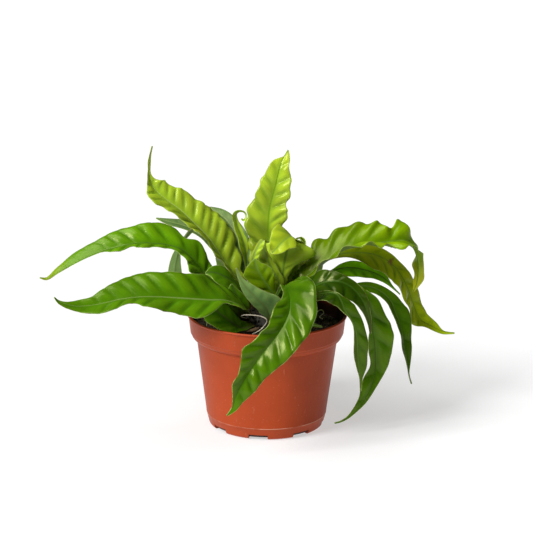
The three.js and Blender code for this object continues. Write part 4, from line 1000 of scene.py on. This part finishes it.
DRAIN_BEARING = -98      # degrees round to the middle of the first drain opening
DRAIN_DEPTH = 9 * MM     # how far each drain opening cuts in from the foot's edge
SHARP_ANGLE = 38         # degrees past which two faces of the pot meet in a hard edge
SOIL_LEVEL = (25 * MM, 75 * MM)    # the soil is level this far out, and lowest this far out
SOIL_FALL = 4 * MM       # how much lower it is there than under the crown
LOOSE_RING = (27 * MM, 71 * MM)    # where crumbs lie, between the crown and the wall
SOIL_STEPS, SOIL_RINGS = 200, 72    # steps in a full turn of the soil, and rings on its surface
CLUMP_SCALES = (120, 45)           # clumps in a metre of soil, small and wide
CRUMB_SCALE = 420                  # crumbs in a metre of soil
CRUMB_SEED, FIBRE_SEED, SCALE_SEED = 11, 23, 5


def pot_height():
    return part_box("pot")[1].z


def arc(centre, radius, start, end, steps):
    """Points of an arc in the profile's plane; the angles are in degrees from straight out."""
    for k in range(steps + 1):
        angle = math.radians(start + (end - start) * k / steps)
        yield centre[0] + radius * math.cos(angle), centre[1] + radius * math.sin(angle)


def inner_radius(pot, height):
    """How wide the pot is inside at a height."""
    stations = [
        (pot.floor, pot.foot_radius - pot.wall - 0.4 * MM),
        (pot.line_height, pot.line_radius - pot.wall),
        (pot.body_top, pot.body_radius - pot.wall),
        (pot.collar_low, pot.collar_radius - pot.wall),
        (pot_height(), pot.rim_radius - pot.rim_wall),
    ]
    for (low, near), (high, far) in zip(stations, stations[1:]):
        if height <= high:
            return near + (far - near) * (height - low) / (high - low)
    return stations[-1][1]


def pot_profile(pot):
    """The pot's outline from the middle of its underside, up outside, over the rim and down."""
    top, rim = pot_height(), pot.rim_radius
    heel, line, lip, shoulder, edge = 3.4 * MM, 0.18 * MM, 0.5 * MM, 5 * MM, 0.35 * MM
    bead, inner_edge = 1.05 * MM, 0.6 * MM
    points = [(0, 0)]
    points += arc((pot.foot_radius - heel, heel), heel, -90, -6, 8)
    points += [
        (pot.line_radius - 0.05 * MM, pot.line_height - 0.35 * MM),
        (pot.line_radius + line, pot.line_height),
        (pot.line_radius + 0.05 * MM, pot.line_height + 0.35 * MM),
        (pot.body_radius, pot.body_top - 1.2 * MM),
    ]
    points += arc((pot.body_radius + lip, pot.body_top - 0.6 * MM), lip, 180, 125, 3)
    middle = pot.collar_radius - 1.0 * MM - shoulder
    points += arc((middle, pot.collar_low - 0.8 * MM), shoulder, -62, -3, 9)
    points += arc((pot.collar_radius - edge, pot.collar_low + edge), edge, -80, -5, 3)
    points += [
        (pot.collar_radius + 0.1 * MM, pot.collar_low + 1.8 * MM),
        (rim - 0.75 * MM, top - 2.6 * MM),
    ]
    points += arc((rim + pot.bead - bead, top - bead), bead, -60, 85, 8)
    points += arc((rim - pot.rim_wall + inner_edge, top - inner_edge), inner_edge, 95, 175, 4)
    points += [(inner_radius(pot, height), height)
               for height in (pot.collar_low, pot.body_top, pot.line_height, pot.floor)]
    points.append((0, pot.floor))
    return points


def drain_cutter(pot):
    """One block for each drain opening, joined as one mesh."""
    bm = bmesh.new()
    size = Matrix.Diagonal((2 * DRAIN_DEPTH, pot.notch_width, 2 * pot.notch_height, 1))
    for k in range(pot.notches):
        turn = math.radians(DRAIN_BEARING) + 2 * math.pi * k / pot.notches
        block = Matrix.Rotation(turn, 4, "Z") @ Matrix.Translation((pot.foot_radius, 0, 0))
        block = block @ size
        bmesh.ops.create_cube(bm, size=1, matrix=block)
    return bm


def cut(piece, cutter_bm):
    """Takes the cutter's blocks out of a piece and leaves a plain mesh."""
    cutter = new_piece("cutter", cutter_bm, piece.data.materials[0], smooth=False)
    tool = piece.modifiers.new("drains", "BOOLEAN")
    tool.operation = "DIFFERENCE"
    tool.solver = "EXACT"
    tool.object = cutter
    bpy.context.view_layer.update()
    evaluated = piece.evaluated_get(bpy.context.evaluated_depsgraph_get())
    shaped = bpy.data.meshes.new_from_object(evaluated)
    piece.modifiers.clear()
    blank = piece.data
    piece.data = shaped
    bpy.data.meshes.remove(blank)
    bpy.data.objects.remove(cutter)


def make_pot(pot):
    """The pot, turned in one piece and then cut by its drain openings."""
    material = pot_finish(pot)
    piece = new_piece("nursery_pot", turned(pot_profile(pot), pot.steps), material)
    cut(piece, drain_cutter(pot))
    piece.data.set_sharp_from_angle(angle=math.radians(SHARP_ANGLE))
    hand_over(piece, "pot")


def soil_height(radius, low, high):
    """The soil is level under the crown and falls away towards the wall."""
    flat, wall = SOIL_LEVEL
    rise = min(1.0, max(0.0, (wall - radius) / (wall - flat)))
    return low + (high - low) * math.sin(rise * math.pi / 2)


def soil_profile(pot, soil):
    """The bed's outline: the pot's floor, its wall, and the surface from the wall to the middle."""
    bottom, top = (corner.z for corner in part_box("soil"))
    edge = top - SOIL_FALL
    heights = [bottom, pot.line_height, pot.body_top, pot.collar_low, edge - 0.6 * MM]
    side = [(inner_radius(pot, height) - soil.wall_gap, height) for height in heights]
    wall = side[-1][0]
    surface = []
    for k in range(SOIL_RINGS):
        radius = wall * (1 - k / SOIL_RINGS)
        surface.append((radius - 0.3 * MM * (k == 0), soil_height(radius, edge, top)))
    return [(0, bottom)] + side + surface + [(0, top)]


def make_soil(pot, soil):
    """The bed of peat, lumpy on top except under the crown and at the wall."""
    bm = turned(soil_profile(pot, soil), SOIL_STEPS)
    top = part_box("soil")[1].z
    rim = inner_radius(pot, top) - soil.wall_gap
    for vert in bm.verts:
        radius = vert.co.xy.length
        if vert.co.z < top - (SOIL_FALL + 0.1 * MM):
            continue
        free = smooth_step(rim, rim - 3 * MM, radius) * smooth_step(20 * MM, 28 * MM, radius)
        small, wide = (noise.noise(vert.co * scale) * soil.clump for scale in CLUMP_SCALES)
        crumb = noise.noise(vert.co * CRUMB_SCALE) * 0.8 * MM
        vert.co.z += (small + wide + crumb - 0.5 * MM) * free
    piece = new_piece("peat_bed", bm, soil_finish(soil))
    hand_over(piece, "soil")


def scatter_spot(rng, inner, outer):
    """An even random spot on a ring, at the height of the soil there."""
    radius = math.sqrt(rng.uniform(inner ** 2, outer ** 2))
    around = rng.uniform(0, 2 * math.pi)
    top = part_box("soil")[1].z
    spot = Vector((radius * math.cos(around), radius * math.sin(around), 0))
    spot.z = soil_height(radius, top - SOIL_FALL, top)
    return spot


def any_turn(rng):
    """A random turn about all three axes."""
    axes = [Matrix.Rotation(rng.uniform(0, 2 * math.pi), 4, axis) for axis in "XYZ"]
    return axes[0] @ axes[1] @ axes[2]


def scatter(name, bm, material):
    """A loose layer on the soil: it rides along on the one body."""
    piece = new_piece(name, bm, material)
    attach(piece, BODY)


def make_crumbs(soil):
    """Loose crumbs of peat, pressed a little into the bed."""
    rng = random.Random(CRUMB_SEED)
    bm = bmesh.new()
    for _ in range(soil.crumbs):
        size = rng.uniform(0.5, 1.7) * MM
        spot = scatter_spot(rng, *LOOSE_RING)
        shape = Matrix.Diagonal((size, size * rng.uniform(0.6, 1), size * rng.uniform(0.5, 0.9), 1))
        place = Matrix.Translation(spot + Vector((0, 0, size * 0.2))) @ any_turn(rng) @ shape
        bmesh.ops.create_icosphere(bm, subdivisions=1, radius=1, matrix=place)
    scatter("peat_crumbs", bm, bpy.data.materials["peat"])


def make_fibres(soil):
    """Fine pale fibres lying about on the peat."""
    rng = random.Random(FIBRE_SEED)
    bm = bmesh.new()
    for _ in range(soil.fibres):
        spot = scatter_spot(rng, LOOSE_RING[0], 70 * MM) + Vector((0, 0, 0.8 * MM))
        reach = rng.uniform(4, 12) * MM
        around = rng.uniform(0, 360)
        bend = direction(around + 90, 0) * rng.uniform(-0.4, 0.4) * reach
        ahead = direction(around, 0) * reach
        lift = Vector((0, 0, rng.uniform(0.2, 2.5) * MM))
        path = [spot, spot + ahead * 0.5 + bend + lift, spot + ahead]
        if max(point.xy.length for point in path) < 73 * MM:
            add_cord(bm, path, [0.16 * MM, 0.12 * MM], 6, 4)
    scatter("peat_fibres", bm, fibre_finish("root_fibre", soil.fibre))


def add_cord(bm, through, radii, steps, sides, roughen=0.0):
    """Adds a round cord with closed ends, from a cylinder's rings moved along the path."""
    points, _ = even_points(through, steps)
    tangents = tangents_of(points)
    others = len(bm.verts)
    made = bmesh.ops.create_cone(
        bm, cap_ends=True, cap_tris=False, segments=sides, radius1=1, radius2=1, depth=1)
    lengthways = {
        edge for vert in made["verts"] for edge in vert.link_edges
        if abs(edge.verts[0].co.z - edge.verts[1].co.z) > 0.5
    }
    bmesh.ops.subdivide_edges(bm, edges=list(lengthways), cuts=steps - 1)
    bm.verts.ensure_lookup_table()
    rings = bm.verts[others:]
    side = tangents[0].orthogonal().normalized()
    frames = []
    for tangent in tangents:
        side = (side - tangent * side.dot(tangent)).normalized()
        frames.append((side, tangent.cross(side)))
    for vert in rings:
        i = round((vert.co.z + 0.5) * steps)
        first, second = frames[i]
        radius = smooth_at(radii, i / steps)
        radius *= 1 + roughen * noise.noise(points[i] * 700 + Vector((0, 0, vert.co.x)))
        vert.co = points[i] + (first * vert.co.x + second * vert.co.y) * radius


def make_root(row, material):
    """One root or dry stalk, a slightly uneven cord along its points."""
    bm = bmesh.new()
    through = [Vector(point) * MM for point in row["path"]]
    radii = [radius * MM for radius in row["radius"]]
    add_cord(bm, through, radii, 10 * len(through), 12, roughen=0.35)
    bmesh.ops.recalc_face_normals(bm, faces=bm.faces[:])
    piece = new_piece(row["name"] + "_fibre", bm, material)
    hand_over(piece, row["name"])


def make_crown(crown):
    """A rough dome of old growth under a coat of narrow papery scales."""
    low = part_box("crown")[0].z
    start = math.degrees(math.asin((low - CROWN_CENTRE.z) / CROWN_RADIUS))
    dome = list(arc((0, CROWN_CENTRE.z), CROWN_RADIUS, start, 90, 26))
    bm = turned([(0, low)] + dome[:-1] + [(0, CROWN_CENTRE.z + CROWN_RADIUS)], 90)
    for vert in bm.verts:
        if vert.co.z > low + 0.2 * MM:
            outward = (vert.co - CROWN_CENTRE).normalized()
            vert.co -= outward * (1.2 + noise.noise(vert.co * 260)) * MM
    add_scales(bm, crown, low)
    # Painted shade: the crown takes its near black colour.
    piece = new_piece("scaly_crown", bm, fibre_finish("crown_scale", crown.crown_painted_shade))
    hand_over(piece, "crown")


def add_scales(bm, crown, low):
    """Narrow pointed scales, each a flattened little spindle that leans up the dome."""
    rng = random.Random(SCALE_SEED)
    lowest = math.degrees(math.asin((low - CROWN_CENTRE.z + 1 * MM) / CROWN_RADIUS))
    for _ in range(crown.scales):
        up = direction(rng.uniform(0, 360), rng.uniform(lowest, 88))
        foot = CROWN_CENTRE + up * (CROWN_RADIUS - 1.6 * MM)
        axis = up + Vector((0, 0, 0.9)) + Vector([rng.uniform(-0.5, 0.5) for _ in range(3)])
        turn = axis.normalized().to_track_quat("Z", "Y").to_matrix().to_4x4()
        tall = crown.scale_length * rng.uniform(0.5, 1.1)
        shape = Matrix.Diagonal((0.7 * MM, 0.12 * MM, tall, 1))
        spin = Matrix.Rotation(rng.uniform(0, math.pi), 4, "Z")
        place = Matrix.Translation(foot) @ turn @ spin @ shape @ Matrix.Translation((0, 0, 0.4))
        bmesh.ops.create_cone(
            bm, cap_ends=True, cap_tris=True, segments=6, radius1=1, radius2=0.05, depth=1,
            matrix=place)


# ---- stage ----

# Each light's bearing and height, and how wide it looks, in degrees.
KEY_PLACE = (-142, 38, 24)
TOP_PLACE = (-165, 66, 35)
FLOOR_DROP = 0.3 * MM    # how far the floor lies under the pot
FRAME_WIDTH = 36         # width of the camera's frame in millimetres


def soft_light(name, strength, around, up, wide):
    """A wide light from far away, which shines from its bearing and height."""
    lamp = bpy.data.lights.new(name, "SUN")
    lamp.energy = strength
    lamp.angle = math.radians(wide)
    holder = bpy.data.objects.new(name, lamp)
    holder.rotation_euler = direction(around, up).to_track_quat("Z", "Y").to_euler()
    bpy.context.scene.collection.objects.link(holder)


def make_floor(stage):
    """A plain level floor, just under the pot."""
    bm = bmesh.new()
    bmesh.ops.create_grid(bm, x_segments=8, y_segments=8, size=20)
    bmesh.ops.translate(bm, verts=bm.verts[:], vec=(0, 0, -FLOOR_DROP))
    new_piece("floor", bm, floor_finish(stage.floor, stage.floor_glow))


def make_camera(stage):
    """The camera in front, looking down at the plant."""
    lens = bpy.data.cameras.new("camera")
    lens.sensor_width = FRAME_WIDTH
    lens.lens = stage.lens
    holder = bpy.data.objects.new("camera", lens)
    look = Matrix.Rotation(math.pi / 2 - stage.tilt, 4, "X") @ Matrix.Rotation(stage.roll, 4, "Z")
    holder.matrix_world = Matrix.Translation((stage.side, -stage.distance, stage.height)) @ look
    bpy.context.scene.collection.objects.link(holder)
    bpy.context.scene.camera = holder


def make_room(stage):
    """An even pale room and two wide soft lights."""
    world = bpy.data.worlds.new("studio")
    world.use_nodes = True
    back = world.node_tree.nodes["Background"]
    back.inputs["Color"].default_value = (1, 1, 1, 1)
    back.inputs["Strength"].default_value = stage.sky
    bpy.context.scene.world = world
    bpy.context.scene.view_settings.view_transform = "Standard"
    soft_light("key_light", stage.key, *KEY_PLACE)
    soft_light("top_light", stage.top, *TOP_PLACE)


# ---- operators and panel ----

class FERN_OT_pot(bpy.types.Operator):
    """Make the moulded pot with its bead, collar, mould line and drain openings"""
    bl_idname = "fern.pot"
    bl_label = "Make pot"

    def execute(self, context):
        make_pot(context.scene.fern_pot)
        return {"FINISHED"}


class FERN_OT_soil(bpy.types.Operator):
    """Make the peat bed with its loose crumbs and fibres"""
    bl_idname = "fern.soil"
    bl_label = "Make soil"

    def execute(self, context):
        scene = context.scene
        make_soil(scene.fern_pot, scene.fern_soil)
        make_crumbs(scene.fern_soil)
        make_fibres(scene.fern_soil)
        return {"FINISHED"}


class FERN_OT_crown(bpy.types.Operator):
    """Make the scaly crown that the fronds grow from"""
    bl_idname = "fern.crown"
    bl_label = "Make crown"

    def execute(self, context):
        make_crown(context.scene.fern_crown)
        return {"FINISHED"}


class FERN_OT_fronds(bpy.types.Operator):
    """Make every frond, each as a piece of its own"""
    bl_idname = "fern.fronds"
    bl_label = "Make fronds"

    def execute(self, context):
        leaf, settings = context.scene.fern_leaf, context.scene.fern_fronds
        finishes = {}
        for seed, row in enumerate(FRONDS):
            tone = row["tone"]
            key = row["name"] if "blotch" in row else tone
            if key not in finishes:
                finishes[key] = leaf_finish(
                    "leaf_" + key, getattr(leaf, tone), leaf, settings, row.get("blotch"))
            make_frond(row, seed, settings, finishes[key])
        return {"FINISHED"}


class FERN_OT_roots(bpy.types.Operator):
    """Make the loose aerial roots and the dry stub"""
    bl_idname = "fern.roots"
    bl_label = "Make roots"

    def execute(self, context):
        crown = context.scene.fern_crown
        finishes = {
            "root": fibre_finish("bare_root", crown.root),
            "dry_stalk": fibre_finish("dry_stalk", crown.dry),
        }
        for row in ROOTS:
            make_root(row, finishes[row["slot"]])
        return {"FINISHED"}


class FERN_OT_stage(bpy.types.Operator):
    """Make the floor, the lights and the camera"""
    bl_idname = "fern.stage"
    bl_label = "Make stage"

    def execute(self, context):
        stage = context.scene.fern_stage
        make_floor(stage)
        make_room(stage)
        make_camera(stage)
        return {"FINISHED"}


STEPS = [FERN_OT_pot, FERN_OT_soil, FERN_OT_crown, FERN_OT_fronds, FERN_OT_roots, FERN_OT_stage]


class FERN_PT_panel(bpy.types.Panel):
    """Buttons and settings for the potted fern"""
    bl_idname = "FERN_PT_panel"
    bl_label = "Potted fern"
    bl_space_type = "VIEW_3D"
    bl_region_type = "UI"
    bl_category = "Fern"

    def draw(self, context):
        for step in STEPS:
            self.layout.operator(step.bl_idname)
        for name in SETTINGS:
            box = self.layout.box()
            group = getattr(context.scene, name)
            for key in group.bl_rna.properties.keys():
                if key not in ("rna_type", "name"):
                    box.prop(group, key)


def register():
    for kind in [*SETTINGS.values(), *STEPS, FERN_PT_panel]:
        bpy.utils.register_class(kind)
    for name, kind in SETTINGS.items():
        setattr(bpy.types.Scene, name, bpy.props.PointerProperty(type=kind))


def unregister():
    for name in SETTINGS:
        delattr(bpy.types.Scene, name)
    for kind in reversed([*SETTINGS.values(), *STEPS, FERN_PT_panel]):
        bpy.utils.unregister_class(kind)


def main():
    register()
    bpy.ops.fern.pot()
    bpy.ops.fern.soil()
    bpy.ops.fern.crown()
    bpy.ops.fern.fronds()
    bpy.ops.fern.roots()
    bpy.ops.fern.stage()


if __name__ == "__main__":
    main()
